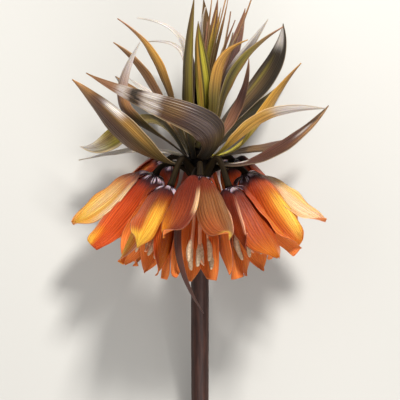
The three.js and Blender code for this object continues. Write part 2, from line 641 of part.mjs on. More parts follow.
const part = new THREE.Group();
part.add(flower);
const box = new THREE.Box3().setFromObject(part, true);
flower.position.x -= (box.min.x + box.max.x) / 2;
flower.position.y -= (box.min.y + box.max.y) / 2;

export default part;
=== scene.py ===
"""A picked crown imperial fritillary, laid on a flat surface: its looks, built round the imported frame.

Sizes in the tables are millimetres in head coordinates, from the hub where the flower stalks leave: x across,
y along the stalk to the crown, z to the flower's upper side. Head turns them into the row's metres.
"""

import logging
import math
from collections.abc import Callable, Sequence
from dataclasses import dataclass, field
from enum import Enum
from functools import partial, reduce

import bmesh
import bpy
from mathutils import Matrix, Vector, noise

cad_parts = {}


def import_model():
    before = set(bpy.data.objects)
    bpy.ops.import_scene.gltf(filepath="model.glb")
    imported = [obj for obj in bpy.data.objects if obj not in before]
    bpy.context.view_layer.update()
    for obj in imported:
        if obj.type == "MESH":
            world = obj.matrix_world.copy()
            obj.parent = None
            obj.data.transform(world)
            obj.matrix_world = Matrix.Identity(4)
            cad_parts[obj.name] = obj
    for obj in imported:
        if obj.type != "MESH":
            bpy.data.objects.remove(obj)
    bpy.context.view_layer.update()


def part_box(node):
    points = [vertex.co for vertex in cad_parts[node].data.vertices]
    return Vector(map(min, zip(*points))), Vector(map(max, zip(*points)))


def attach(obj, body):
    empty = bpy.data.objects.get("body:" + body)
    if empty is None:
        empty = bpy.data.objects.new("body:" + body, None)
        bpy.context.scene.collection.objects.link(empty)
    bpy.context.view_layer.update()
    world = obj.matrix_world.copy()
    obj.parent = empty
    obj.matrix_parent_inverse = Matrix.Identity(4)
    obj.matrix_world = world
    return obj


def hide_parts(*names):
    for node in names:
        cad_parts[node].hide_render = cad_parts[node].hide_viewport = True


LOG = logging.getLogger("crown_imperial")
BODY = "root"
MM = 0.001
STALK_AXIS = Vector((0.0, 1.0, 0.0))
PETALS = 6
PETAL_TURN = 360 / PETALS
# What the meshes carry: places on a sheet, paint with a seed, the share of thickness, how far a top is dark,
# which is partly its own colour and partly painted shade.
SHEET_UV = "sheet"
TINT = "tint"
BODY_WEIGHT = "body"
DUSK = "dusk"

Colour = tuple[float, float, float, float]
Surface = Callable[[float, float], Vector]
Paint = Callable[[float, float], Colour]
Curve = tuple[Callable[[float], Vector], Callable[[float], Vector]]


# ---------------------------------------------------------------------------------------------------------
# Small sums
# ---------------------------------------------------------------------------------------------------------
def smooth(value: float) -> float:
    """Rises gently from 0 to 1 as the value does."""
    v = min(1.0, max(0.0, value))
    return v * v * (3 - 2 * v)


def lerp(start: float, end: float, share: float) -> float:
    """The value a share of the way from start to end."""
    return start + (end - start) * share


def compass(degrees: float) -> Vector:
    """The direction square to the stalk at a compass angle: 90 is the flower's upper side."""
    a = math.radians(degrees)
    return Vector((math.cos(a), 0.0, math.sin(a)))


def soft_limit(value: float, limit: float, free: float = 0.55) -> float:
    """Leaves a value alone up to a share of its limit, then bends it so that it never passes the limit.

    Args:
        value: What is limited, of either sign.
        limit: The size that it never passes.
        free: The share of the limit up to which nothing changes.

    Returns:
        The limited value.
    """
    start = free * limit
    room = limit - start
    over = abs(value) - start
    if over <= 0:
        return value
    return math.copysign(start + room * (1 - math.exp(-over / room)), value)


def cubic_through(points: Sequence[Vector]) -> Curve:
    """The cubic that passes through four points at 0, a third, two thirds and 1.

    Args:
        points: The four points.

    Returns:
        Two functions of the share of the way: the place, and the unit direction there.
    """
    start, second, third, end = points
    near_start = start * (-5 / 6) + second * 3 - third * 1.5 + end / 3
    near_end = start / 3 - second * 1.5 + third * 3 - end * (5 / 6)
    return bezier(start, near_start, near_end, end)


def bezier(start: Vector, near_start: Vector, near_end: Vector, end: Vector) -> Curve:
    """A cubic Bezier curve.

    Args:
        start: Where it starts.
        near_start: The handle that it leaves towards.
        near_end: The handle that it arrives from.
        end: Where it ends.

    Returns:
        Two functions of the share of the way: the place, and the unit direction there.
    """
    leaving, middle, arriving = near_start - start, near_end - near_start, end - near_end

    def place(s: float) -> Vector:
        """The place at a share of the way."""
        r = 1 - s
        return start * r**3 + near_start * (3 * r * r * s) + near_end * (3 * r * s * s) + end * s**3

    def direction(s: float) -> Vector:
        """The unit direction at a share of the way."""
        r = 1 - s
        return (leaving * (r * r) + middle * (2 * r * s) + arriving * (s * s)).normalized()

    return place, direction


# ---------------------------------------------------------------------------------------------------------
# Forms: the flower's own sizes
# ---------------------------------------------------------------------------------------------------------
@dataclass(frozen=True)
class StalkForm:
    """The bare stalk and the hub at its top, as a profile of (radius, height along the stalk)."""

    radius: float = 5.2
    length: float = 210.0
    tilt: float = math.radians(14)
    swell: float = 1.04
    hub: tuple[tuple[float, float], ...] = (
        (5.2, -16), (6.7, -6), (7.1, 0), (6.8, 5), (5.6, 9.5), (4.2, 13), (2.4, 15.6), (0, 16.5),
    )

    def profile(self) -> list[tuple[float, float]]:
        """The stalk's side from the cut end to the hub's top."""
        half_way = (self.radius * self.swell, -self.length / 2)
        return [(self.radius, -self.length), half_way, *self.hub]

    def radius_at(self, height: float) -> float:
        """The radius of the stalk or hub.

        Args:
            height: A height along it.

        Returns:
            The radius there.
        """
        points = self.profile()
        above = next((i for i, (_, y) in enumerate(points) if y >= height and i), len(points) - 1)
        (r0, y0), (r1, y1) = points[above - 1], points[above]
        return lerp(r0, r1, min(1.0, max(0.0, (height - y0) / (y1 - y0))))


@dataclass(frozen=True)
class BellForm:
    """One bell: where its base is, how it leans, how its flower stalk arches, its turn and length, how much
    longer its stamens are than usual, and how far down, as a share, its top is nearly black, which is partly
    its own dark colour and partly painted shade."""

    at: float
    reach: float
    height: float
    lean: float
    arch: float
    turn: float
    length: float = 54.0
    longer: float = 0.0
    dusk: float = 0.16


BELLS = (
    BellForm(90, 23, -1.5, 28, 4, 36, length=61, longer=11, dusk=0.11),
    BellForm(47, 24, -9, 26, 6, 73, dusk=0.2),
    BellForm(3, 26, -4.5, 24, 0, 57, dusk=0.2),
    BellForm(-44, 26, -1, 28, 2, 22),
    BellForm(-90, 23, -3, 22, 2, 30),
    BellForm(-136, 26, -1, 33, 2, 10),
    BellForm(178, 25.5, -5, 24, 1, 3, length=57, dusk=0.23),
    BellForm(134, 24, -8.5, 28, 6, -30, dusk=0.27),
)


@dataclass(frozen=True)
class Pose:
    """How a petal stands out from the rest, in degrees, and how its margins curl outwards, in millimetres."""

    sweep: float = 0.0
    lift: float = 0.0
    open: float = 0.0
    twist: float = 0.0
    curl: float = 0.0


# By the bell's number and the petal's.
POSES = {
    (1, 0): Pose(-10, -9, 17, 21, 3),
    (1, 5): Pose(6, 14, 15, -25, 0),
    (2, 0): Pose(-13, -4, 24, 29, 3.5),
    (2, 5): Pose(0, 3, 0, 0, 0),
    (3, 5): Pose(7, -4, 7, -16, 4),
    (7, 0): Pose(0, -21, 6, 26, 3.8),
    (7, 5): Pose(8, -15, 8, -9, 1.5),
    (8, 0): Pose(-7, -13, 18, -22, 1),
    (8, 1): Pose(-16, -20, -8, 0, 0),
}


class Tone(Enum):
    """The colours of the petals, then those that a leaf passes through from its root to its tip. Many are
    painted light. On the petals russet is painted shade; gold, yellow and cream are painted light falling on
    and through them, gold partly the tips' own colour too; blush is mostly a painted highlight along edges.
    On the leaves umber at the roots is painted shade, the silvery white is a painted highlight, and lime and
    amber are painted light coming through the blades.
    """

    FLAME = 0xD2581E
    EMBER = 0xAE4E1A
    RUSSET = 0x702C18
    SCARLET = 0xBC3E14
    GOLD = 0xE8921E
    YELLOW = 0xF2C848
    CREAM = 0xF6DCAA
    BLUSH = 0xF2BC98
    OCHRE = 0x8A5E36
    SALMON = 0xCC7850
    UMBER = 0x2A2117
    BRONZE = 0x74562E
    OLIVE = 0x6E6028
    MOSS = 0x96882C
    LIME = 0xC8BC3C
    TAN = 0xC08C56
    HONEY = 0xD09A44
    AMBER = 0xECB850
    PLUM = 0x583730
    SLATE = 0x54443F
    ROSE = 0xA47256
    SILVER = 0xEAE2DA


@dataclass(frozen=True)
class Wash:
    """A patch of colour on a petal or leaf: its middle and half sizes along it, as shares, and across it,
    where the margins are at -1 and 1, how much it covers, and how sharply it ends."""

    tone: Tone
    along: float
    across: float
    length: float
    width: float
    amount: float = 1.0
    edge: float = 2.6

    def cover(self, s: float, t: float) -> float:
        """How much it covers at a share of the length and a place across."""
        off_along, off_across = abs((s - self.along) / self.length), abs((t - self.across) / self.width)
        return self.amount * math.exp(-(off_along**self.edge + off_across**self.edge))


def painted(under: Colour, washes: Sequence[Wash], s: float, t: float) -> Colour:
    """A colour with washes laid over it, each over the ones before.

    Args:
        under: The colour.
        washes: The washes.
        s: The share of the length.
        t: The place across, from -1 to 1.

    Returns:
        The colour there.
    """
    for wash in washes:
        cover = wash.cover(s, t)
        under = tuple(lerp(a, b, cover) for a, b in zip(under, colour(wash.tone.value)))
    return under


(
    FLAME, EMBER, RUSSET, SCARLET, GOLD, YELLOW, CREAM, BLUSH, OCHRE, SALMON, UMBER,
    BRONZE, OLIVE, MOSS, LIME, TAN, HONEY, AMBER, PLUM, SLATE, ROSE, SILVER,
) = Tone
# A petal's ground colour and the washes over it, by the bell's number and the petal's. Much of it is painted
# light: russet grounds and washes are painted shade, gold, yellow and cream patches are painted light falling
# on and through the petals, and cream and blush strips along margins and folds are painted highlights.
PETAL_PAINT = {
    (1, 0): (RUSSET, Wash(EMBER, 0.62, 0.2, 0.22, 0.8, 0.45), Wash(GOLD, 0.95, 0.55, 0.28, 0.6, 0.85),
             Wash(CREAM, 0.42, -0.96, 0.15, 0.14, 0.95, 4.0)),
    (1, 5): (OCHRE, Wash(EMBER, 0.8, 0.6, 0.25, 0.6, 0.6), Wash(RUSSET, 0.16, 0.0, 0.12, 1.2, 0.8),
             Wash(BLUSH, 0.72, -0.97, 0.22, 0.12, 0.9, 4.0), Wash(YELLOW, 1.0, 0.1, 0.09, 0.9, 1.0, 4.0)),
    (1, 1): (FLAME, Wash(GOLD, 0.9, 0.0, 0.35, 1.0, 0.6)),
    (1, 2): (FLAME, Wash(GOLD, 0.9, 0.0, 0.3, 0.9, 0.6)),
    (1, 3): (FLAME, Wash(GOLD, 0.95, 0.0, 0.3, 0.9, 0.5)),
    (1, 4): (FLAME, Wash(GOLD, 0.8, 0.2, 0.4, 0.8, 0.6)),
    (2, 0): (RUSSET, Wash(EMBER, 0.75, 0.0, 0.25, 0.7, 0.8), Wash(BLUSH, 0.62, -0.97, 0.38, 0.13, 1.0, 4.0),
             Wash(BLUSH, 0.7, 0.97, 0.32, 0.12, 0.95, 4.0)),
    (2, 5): (EMBER, Wash(RUSSET, 0.22, 0.0, 0.2, 1.2, 0.7), Wash(GOLD, 1.0, 0.1, 0.22, 1.0, 0.6),
             Wash(BLUSH, 1.0, -0.85, 0.12, 0.35, 0.8, 4.0)),
    (2, 1): (EMBER, Wash(GOLD, 1.0, 0.0, 0.3, 1.0, 0.4)),
    (2, 4): (FLAME, Wash(GOLD, 0.8, 0.5, 0.35, 0.6, 0.7)),
    (3, 0): (FLAME, Wash(SCARLET, 0.2, 0.2, 0.16, 0.9, 0.6), Wash(GOLD, 0.62, -0.3, 0.36, 0.6, 0.8),
             Wash(YELLOW, 0.68, -0.55, 0.3, 0.42, 1.0, 4.0), Wash(GOLD, 0.97, 0.2, 0.1, 0.9, 0.6)),
    (3, 5): (CREAM, Wash(SALMON, 0.26, 0.4, 0.2, 0.7, 0.85), Wash(GOLD, 0.5, 0.85, 0.25, 0.22, 0.6),
             Wash(YELLOW, 0.62, -0.8, 0.25, 0.3, 0.6), Wash(BLUSH, 1.0, 0.0, 0.1, 1.0)),
    (3, 1): (EMBER, Wash(GOLD, 0.62, -0.4, 0.28, 0.6, 0.9), Wash(YELLOW, 0.55, -0.85, 0.22, 0.3, 0.95, 4.0)),
    (3, 4): (FLAME, Wash(YELLOW, 0.75, 0.0, 0.3, 0.8, 0.8)),
    (4, 0): (FLAME, Wash(YELLOW, 0.85, 0.0, 0.3, 0.9, 0.8)),
    (4, 5): (EMBER, Wash(GOLD, 0.85, 0.0, 0.3, 0.9, 0.8)),
    (6, 0): (SCARLET, Wash(GOLD, 0.6, 0.0, 0.3, 1.0, 0.9), Wash(YELLOW, 0.95, 0.0, 0.35, 1.0)),
    (6, 5): (SCARLET, Wash(YELLOW, 0.75, -0.3, 0.45, 0.8, 0.95)),
    (6, 1): (SCARLET, Wash(YELLOW, 0.8, 0.0, 0.35, 1.0, 0.9)),
    (7, 0): (SALMON, Wash(YELLOW, 0.62, 0.0, 0.3, 0.9, 0.8), Wash(YELLOW, 0.86, 0.0, 0.28, 1.0, 1.0, 3.0),
             Wash(CREAM, 0.6, 0.2, 0.24, 0.45, 0.6),
             Wash(CREAM, 0.48, -0.85, 0.3, 0.28, 0.95, 4.0), Wash(GOLD, 0.82, -0.5, 0.1, 0.25, 0.5)),
    (7, 5): (FLAME, Wash(SCARLET, 0.26, 0.2, 0.2, 0.9, 0.7), Wash(GOLD, 0.9, 0.7, 0.13, 0.5, 1.0, 4.0),
             Wash(YELLOW, 0.96, 0.8, 0.08, 0.35, 0.95), Wash(CREAM, 0.5, 1.0, 0.33, 0.12, 0.8, 4.0)),
    (7, 4): (EMBER, Wash(SALMON, 0.6, 0.6, 0.25, 0.4, 0.6), Wash(GOLD, 0.92, 0.0, 0.18, 1.0, 0.5)),
    (8, 0): (EMBER, Wash(RUSSET, 0.3, 0.0, 0.24, 1.2, 0.95), Wash(SALMON, 0.5, 0.8, 0.25, 0.3, 0.5),
             Wash(GOLD, 0.69, -0.4, 0.33, 0.6, 0.9), Wash(YELLOW, 0.72, -0.32, 0.3, 0.5, 1.0, 4.0),
             Wash(YELLOW, 0.93, 0.2, 0.16, 1.0, 1.0, 4.0), Wash(GOLD, 0.64, 0.02, 0.22, 0.05, 0.6)),
    (8, 1): (FLAME, Wash(GOLD, 0.8, 0.0, 0.3, 1.1, 0.9), Wash(YELLOW, 0.88, 0.3, 0.24, 0.7, 1.0, 3.0),
             Wash(BLUSH, 0.8, -0.95, 0.3, 0.2, 0.7)),
    (8, 5): (FLAME, Wash(GOLD, 0.85, -0.2, 0.35, 0.8, 0.7)),
}
# The same for all others, in the outer layer and in the inner one. Their gold tips are partly the petals' own
# colour and partly painted light.
PLAIN_PAINT = (
    (FLAME, Wash(GOLD, 0.9, 0.0, 0.35, 0.9, 0.7)),
    (EMBER, Wash(GOLD, 0.85, 0.2, 0.32, 0.8, 0.65)),
)


@dataclass(frozen=True)
class PetalForm:
    """The sizes that all petals share, with angles in degrees and lengths along a petal as shares."""

    half_width: float = 11.5
    thickness: float = 0.62
    solid_thickness: float = 0.8
    margin_share: float = 0.45
    half_angle: float = 36.0
    outer_flare: float = 9.0
    layer: float = 2.0
    shoulder: float = 0.13
    root_share: float = 0.4
    root_power: float = 0.9
    tip_share: float = 0.05
    widest: float = 0.54
    tip_powers: tuple[float, float] = (2.1, 0.85)
    side_loss: float = 0.06
    root_curve: float = 4.0
    least_curve: float = 10.3
    opening: float = 1.15
    curve_turn: float = 0.22
    sector_share: float = 0.54
    sector_spread: float = 60.0
    edge_gap: float = 0.1
    ripple: float = 1.5
    ripple_start: float = 0.3
    ripple_rise: float = 2.0
    ripple_phases: tuple[float, float, float] = (5.5, 2.1, 1.4)
    bend_share: float = 0.4
    sweep_variety: float = 5.0
    lift_variety: float = 3.0
    variety_phases: tuple[float, float, float] = (2.4, 1.7, 3.0)
    fine_ripple: float = 0.75
    fine_ripple_rise: float = 3.0
    fine_ripple_pitch: float = 19.0
    fine_ripple_phase: float = 5.0
    hump: float = 1.35
    hump_at: float = 0.1
    hump_length: float = 0.06
    midrib: float = 0.3
    midrib_width: float = 0.12
    midrib_start: float = 0.1
    pleat: float = 0.42
    pleats: float = 8.0
    pleat_start: float = 0.1
    pleat_rise: float = 0.3
    pleat_phases: tuple[float, float] = (3.0, 2.0)
    side_start: tuple[float, float] = (2.0, 1.0)
    body: tuple[float, float] = (6.0, 7.0)
    flare: tuple[float, float] = (14.0, 15.0)
    flare_power: float = 2.2
    shoulder_slope: float = 84.0
    shoulder_share: float = 0.15
    shoulder_power: float = 1.5
    neighbour_gap: float = 1.1
    to_axis: float = 8.5
    press_softness: float = 1.2
    side_steps: int = 40
    rows: int = 34
    columns: int = 14
    row_stretch: float = 1.2


@dataclass(frozen=True)
class LeafForm:
    """One leaf of the crown: the compass angle and whorl of its root, three places that it passes, its
    width and roll, its tones at the root, a third, two thirds and the tip, washes over them, shares for its
    root's width and where it is widest, and whether its root is spared the painted shade at the root. Its
    tones and washes carry painted highlights and shade as well as its own colours."""

    at: float
    whorl: int
    path: tuple[tuple[float, float, float], ...]
    width: float
    roll: float
    tones: tuple[Tone, Tone, Tone, Tone]
    washes: tuple[Wash, ...] = ()
    root: float = 0.32
    widest: float = 0.42
    light_root: bool = False


# Painted light on the leaves: umber at the roots is painted shade where the bases crowd at the hub, the
# silvery white tones and washes are painted highlights, lime and amber on the leaves that stand against the
# light are painted light coming through them, and the narrow umber band between leaf 2's highlights is a
# painted shadow.
LEAVES = (
    LeafForm(165, 0, ((-29, 9, 12), (-51, 29, 10), (-72, 50, 3)), 21, 46, (UMBER, BRONZE, BRONZE, TAN),
             (Wash(OLIVE, 0.3, 0.5, 0.2, 0.5, 0.8), Wash(HONEY, 0.52, 0.6, 0.16, 0.2, 0.6),
              Wash(PLUM, 0.66, -0.3, 0.2, 0.6, 0.8), Wash(SILVER, 0.7, 0.8, 0.085, 0.26, 1.0, 4.0),
              Wash(PLUM, 0.79, 0.5, 0.05, 0.5, 0.7, 4.0)),
             root=0.20),
    LeafForm(80, 1, ((4, 25.5, 24), (-22, 38, 25), (-63, 55, 13)), 18, 50, (BRONZE, SLATE, PLUM, TAN),
             (Wash(UMBER, 0.04, 0.0, 0.08, 1.2, 0.8), Wash(OLIVE, 0.14, 0.5, 0.1, 0.5, 0.6),
              Wash(SLATE, 0.42, 0.0, 0.12, 1.2, 0.9), Wash(UMBER, 0.36, 0.75, 0.14, 0.35, 0.6),
              # Painted highlights on leaf 2, with a narrow umber band of painted shadow between them.
              Wash(BRONZE, 0.6, 0.3, 0.07, 0.9, 0.9), Wash(SILVER, 0.715, 0.0, 0.045, 1.4, 0.95, 4.0),
              Wash(UMBER, 0.79, 0.0, 0.024, 1.5, 1.0, 4.0), Wash(SILVER, 0.845, 0.1, 0.026, 1.4, 0.85, 4.0),
              Wash(ROSE, 0.92, 0.0, 0.05, 1.2, 0.8), Wash(CREAM, 0.6, -0.97, 0.2, 0.1, 0.8, 4.0),
              Wash(BRONZE, 0.7, -0.35, 0.08, 0.1, 0.7, 4.0), Wash(BRONZE, 0.72, 0.3, 0.06, 0.12, 0.7, 4.0)),
             root=0.42, widest=0.30),
    LeafForm(15, 0, ((31, 4, 11), (54, 17, 11), (73, 35, 2)), 13, 30, (UMBER, PLUM, PLUM, BRONZE),
             (Wash(SILVER, 0.2, 0.8, 0.07, 0.14, 0.8, 4.0), Wash(SILVER, 0.76, 0.3, 0.07, 0.16, 0.8),
              Wash(TAN, 0.84, -0.5, 0.18, 0.45, 0.9))),
    LeafForm(200, 0, ((-29, 24, -9), (-50, 13, -14), (-70, 9, -10)), 15, -30,
             (OLIVE, OLIVE, MOSS, SILVER),
             (Wash(CREAM, 0.72, 0.9, 0.28, 0.16, 0.9, 4.0), Wash(BRONZE, 0.62, -0.4, 0.25, 0.45, 0.8)),
             root=0.26, widest=0.50),
    LeafForm(230, 0, ((-24, 5, -15), (-46, 3, -22), (-73, -3, -28)), 7, 0,
             (OLIVE, SILVER, SILVER, SILVER)),
    LeafForm(252, 0, ((-13, 13, -30), (-31, 27, -51), (-53, 42, -69)), 12, 0,
             (UMBER, OLIVE, BRONZE, TAN)),
    LeafForm(292, 0, ((17, 13, -30), (38, 26, -52), (57, 43, -70)), 12, 0, (UMBER, OLIVE, OLIVE, TAN)),
    LeafForm(334, 0, ((27, 5, -14), (50, 8, -20), (70, 22, -26)), 11, 0,
             (UMBER, BRONZE, PLUM, BRONZE)),
    LeafForm(118, 1, ((-7, 33, 10), (-7, 61, 10), (-3, 97, 7)), 8, 0, (UMBER, OLIVE, OLIVE, BRONZE),
             (Wash(MOSS, 0.6, 0.6, 0.4, 0.25, 0.8), Wash(UMBER, 0.5, -0.5, 0.5, 0.3, 0.8)), root=0.38),
    LeafForm(160, 1, ((-31, 23, 6), (-44, 39, 7), (-33, 72, 10)), 11, 40, (UMBER, OLIVE, ROSE, SILVER),
             (Wash(TAN, 0.62, 0.3, 0.1, 0.6, 0.8),)),
    LeafForm(28, 1, ((24, 19, 8.5), (40, 31, 14), (70, 35, 12)), 21, -20, (LIME, AMBER, AMBER, SILVER),
             (Wash(MOSS, 0.12, 0.0, 0.1, 1.2, 0.6), Wash(HONEY, 0.6, 0.0, 0.08, 1.0, 0.6),
              Wash(SILVER, 0.82, 0.0, 0.13, 1.4, 0.98, 4.0)),
             root=0.27, widest=0.32, light_root=True),
    LeafForm(350, 1, ((26, 12, -8), (39, 32, -5), (57, 59, 1)), 13, -40, (LIME, LIME, AMBER, HONEY),
             (Wash(ROSE, 0.95, 0.0, 0.06, 1.0, 0.7), Wash(HONEY, 0.42, 0.6, 0.15, 0.5, 0.7)),
             light_root=True),
    LeafForm(320, 1, ((19, 24, -20), (40, 47, -30), (49, 78, -34)), 15, 20, (UMBER, UMBER, UMBER, UMBER),
             (Wash(BRONZE, 0.45, 0.3, 0.22, 0.6, 0.8), Wash(MOSS, 0.62, 0.5, 0.14, 0.16, 0.6),
              Wash(SILVER, 0.95, 0.3, 0.09, 0.7, 0.9, 4.0)), widest=0.60),
    LeafForm(282, 1, ((9, 32, -22), (19, 58, -36), (27, 86, -46)), 12, 0, (UMBER, OLIVE, PLUM, ROSE)),
    LeafForm(252, 1, ((-7, 28, -22), (-8, 56, -36), (-33, 66, -46)), 6, 0,
             (OLIVE, TAN, SILVER, SILVER)),
    LeafForm(217, 1, ((-19, 24, -20), (-28, 35, -26), (-43, 47, -30)), 7, -20,
             (OLIVE, TAN, SILVER, SILVER)),
    LeafForm(186, 2, ((-22, 34, -3), (-33, 54, -2), (-49, 70, -5)), 12, 40, (OLIVE, ROSE, TAN, TAN),
             (Wash(BRONZE, 0.45, -0.5, 0.3, 0.4, 0.7),)),
    LeafForm(146, 2, ((-17, 41, 6), (-27, 65, 6), (-46, 84, 2)), 8, 30, (OLIVE, BRONZE, HONEY, ROSE),
             (Wash(HONEY, 0.55, 0.3, 0.2, 0.5, 0.8),)),
    LeafForm(60, 2, ((8, 38, 11), (11, 60, 15), (26, 74, 20)), 7, -20, (UMBER, OLIVE, HONEY, HONEY)),
    LeafForm(18, 2, ((14, 40, 4), (25, 62, 6), (46, 80, 8)), 9, -30, (OLIVE, OLIVE, MOSS, ROSE),
             (Wash(UMBER, 0.45, -0.5, 0.35, 0.35, 0.8), Wash(HONEY, 0.6, 0.6, 0.3, 0.3, 0.8))),
    LeafForm(336, 2, ((17, 22, -8), (25, 39, -10), (28, 60, -12)), 8, 20, (PLUM, ROSE, PLUM, ROSE)),
    LeafForm(270, 2, ((1, 37, -14), (3, 65, -22), (2, 93, -28)), 11, 0, (UMBER, OLIVE, BRONZE, BRONZE)),
    LeafForm(220, 3, ((-7, 38, -8), (-9, 67, -11), (-36, 83, -14)), 8, 0,
             (UMBER, BRONZE, SILVER, SILVER)),
    LeafForm(106, 3, ((3, 36, 6), (1, 60, 8), (-1, 83, 8)), 9, 0, (OLIVE, MOSS, OLIVE, BRONZE),
             (Wash(LIME, 0.5, 0.3, 0.4, 0.4, 1.0, 4.0), Wash(UMBER, 0.55, -0.1, 0.4, 0.1, 0.9, 4.0),
              Wash(HONEY, 0.6, -0.5, 0.3, 0.2, 0.8), Wash(UMBER, 0.55, 0.7, 0.4, 0.12, 0.8, 4.0))),
    LeafForm(44, 3, ((8, 40, 7), (13, 65, 5), (17, 88, 4)), 7, 0, (OLIVE, MOSS, BRONZE, ROSE),
             (Wash(UMBER, 0.5, 0.1, 0.4, 0.2, 0.8, 4.0), Wash(HONEY, 0.45, 0.7, 0.3, 0.2, 0.8))),
    LeafForm(352, 3, ((10, 40, -2), (19, 67, -3), (29, 95, -4)), 9, -20, (OLIVE, BRONZE, ROSE, TAN),
             (Wash(UMBER, 0.5, -0.3, 0.4, 0.25, 0.7),)),
    LeafForm(314, 3, ((10, 37, -9), (24, 60, -13), (39, 82, -16)), 9, 20, (UMBER, PLUM, SLATE, SILVER),
             (Wash(SILVER, 0.8, 0.8, 0.2, 0.3, 0.9),)),
    LeafForm(172, 4, ((-3, 35, -1), (-2, 60, -1), (3, 90, -2)), 8, 0, (OLIVE, BRONZE, PLUM, SILVER),
             (Wash(SILVER, 0.75, 0.5, 0.15, 0.5, 0.8),)),
    LeafForm(276, 4, ((3, 43, -6), (7, 70, -9), (10, 94, -11)), 8, 0, (OLIVE, MOSS, BRONZE, ROSE)),
)
# Its whorl and roll aren't used: it hangs straight from the hub.
DROOPING_LEAF = LeafForm(
    108, 0, ((-11.0, -19, 41), (-10.5, -44, 50.5), (2, -85, 15)), 3.8, 0, (UMBER, PLUM, PLUM, PLUM),
    (Wash(RUSSET, 0.55, 0.0, 0.4, 1.4, 0.4),), root=0.55
)
WHORL_HEIGHTS = (2.0, 5.0, 8.0, 11.0, 13.5)


@dataclass(frozen=True)
class BladeForm:
    """The sizes that all leaves share, with lengths along a leaf as shares."""

    thickness: float = 0.75
    solid_thickness: float = 1.0
    margin_share: float = 0.5
    seat: float = 0.9
    tip_share: float = 0.03
    tip_power: float = 2.0
    root_turn: float = 0.3
    roll_turn: float = 0.7
    cup: tuple[float, float] = (0.18, 0.25)
    cup_rise: float = 2.0
    rib: float = 0.04
    ribs: float = 5.0
    rib_start: float = 0.15
    axis_pull: float = 1.1
    softness: float = 1.5
    wave: float = 0.5
    wave_start: float = 0.15
    wave_rise: float = 4.0
    wave_pitch: float = 8.0
    wave_lean: float = 1.5
    fine_wave: float = 0.16
    fine_wave_pitch: float = 31.0
    fine_wave_phase: float = 2.0
    rows: int = 56
    columns: int = 14


@dataclass(frozen=True)
class DroopForm:
    """How the drooping leaf hangs: how deep its root is in the hub, its taper, its fold and its waves."""

    root_depth: float = 0.5
    taper: float = 2.6
    fold: float = 0.3
    wave: float = 0.1
    wave_pitch: float = 9.0
    wave_lean: float = 2.0


@dataclass(frozen=True)
class YoungForm:
    """The narrow young leaves in the crown's heart, each turned on from the last by the golden angle. The
    steps of its path are shares of its height, distances from the axis and leans to the right."""

    count: int = 12
    turn: float = 137.5
    whorl: int = 4
    height: float = 76.0
    height_step: float = 6.5
    heights: int = 4
    steps: tuple[tuple[float, float, float], ...] = ((0.42, 3.4, 2.0), (0.7, 5.6, 6.0), (1.0, 7.5, 11.0))
    kinds: int = 3
    tip_step: float = 1.5
    width: float = 2.8
    width_step: float = 0.6
    roll: float = 30.0
    root: float = 0.6
    widest: float = 0.3
    tones: tuple[tuple[Tone, Tone, Tone, Tone], ...] = (
        (OLIVE, MOSS, LIME, BRONZE), (OLIVE, BRONZE, ROSE, ROSE),
        (UMBER, OLIVE, MOSS, HONEY), (UMBER, BRONZE, BRONZE, TAN),
    )
    rows: int = 24
    columns: int = 6

    def leaf(self, index: int) -> LeafForm:
        """The form of one young leaf.

        Args:
            index: Its place in the order in which they grow.

        Returns:
            The leaf's form.
        """
        at = self.turn * index % 360
        kind = index % self.kinds
        height = self.height + self.height_step * (index % self.heights)
        *lower, (top, reach, lean) = self.steps
        steps = (*lower, (top, reach + self.tip_step * kind, lean))
        path = tuple(
            tuple(compass(at) * reach + Vector((lean, height * share, 0.0))) for share, reach, lean in steps
        )
        width, roll = self.width + self.width_step * kind, self.roll * (kind - 1)
        tones = self.tones[index % len(self.tones)]
        return LeafForm(at, self.whorl, path, width, roll, tones, root=self.root, widest=self.widest)


@dataclass(frozen=True)
class StamenForm:
    """The ovary, style and six stamens of a bell, with distances along the bell's axis."""

    top: float = 3.3
    ovary: tuple[tuple[float, float], ...] = ((0, 0), (0, 2.2), (0.35, 2.5), (0.7, 2.0), (0.95, 1.1), (1, 0))
    ovary_end: float = 9.5
    ovary_sides: int = 24
    ovary_lobe: float = 0.09
    style_start: float = 8.0
    style_length: float = 36.0
    style_lean: float = 0.8
    style_radii: tuple[float, float] = (0.75, 1.0)
    stigmas: int = 3
    stigma_radii: tuple[float, float] = (0.75, 0.5)
    stigma_root: float = 0.6
    stigma_length: float = 3.4
    stigma_spread: float = 2.2
    first_turn: float = 30.0
    filament_end: float = 26.0
    filament_bends: tuple[float, float] = (0.7, 0.4)
    stagger: float = 3.5
    spread: tuple[float, float, float, float] = (1.5, 3.2, 5.2, 6.4)
    twist: float = 8.0
    filament_radii: tuple[float, float] = (0.744, 0.496)
    anther_length: float = 12.0
    anther_radius: float = 1.55
    anther_overlap: float = 0.8
    anther_bow: float = 0.6
    anther_bluntness: float = 0.4
    anther_rings: int = 22
    anther_sides: int = 20
    groove: float = 0.34
    groove_width: float = 0.4
    lump: float = 0.16
    lump_pitch: float = 5.0
    seed_steps: tuple[float, float] = (7.3, 1.7)
    rod_rings: int = 14
    rod_sides: int = 10
    clearance: float = 4.0


@dataclass(frozen=True)
class FlowerStalkForm:
    """The stalk of a bell, which arches from the hub to the bell's top."""

    radius: float = 1.6
    swell: float = 0.7
    swell_share: float = 0.07
    root_swell: float = 1.5
    root_swell_share: float = 0.16
    root: float = -4.5
    root_reach: float = 4.5
    bend: tuple[float, float] = (0.45, 0.04)
    seat_gap: float = 0.1
    waves: tuple[tuple[float, float, float], ...] = ((0.05, 3.0, 4.0), (0.03, 7.0, 9.0))
    rings: int = 40
    sides: int = 20


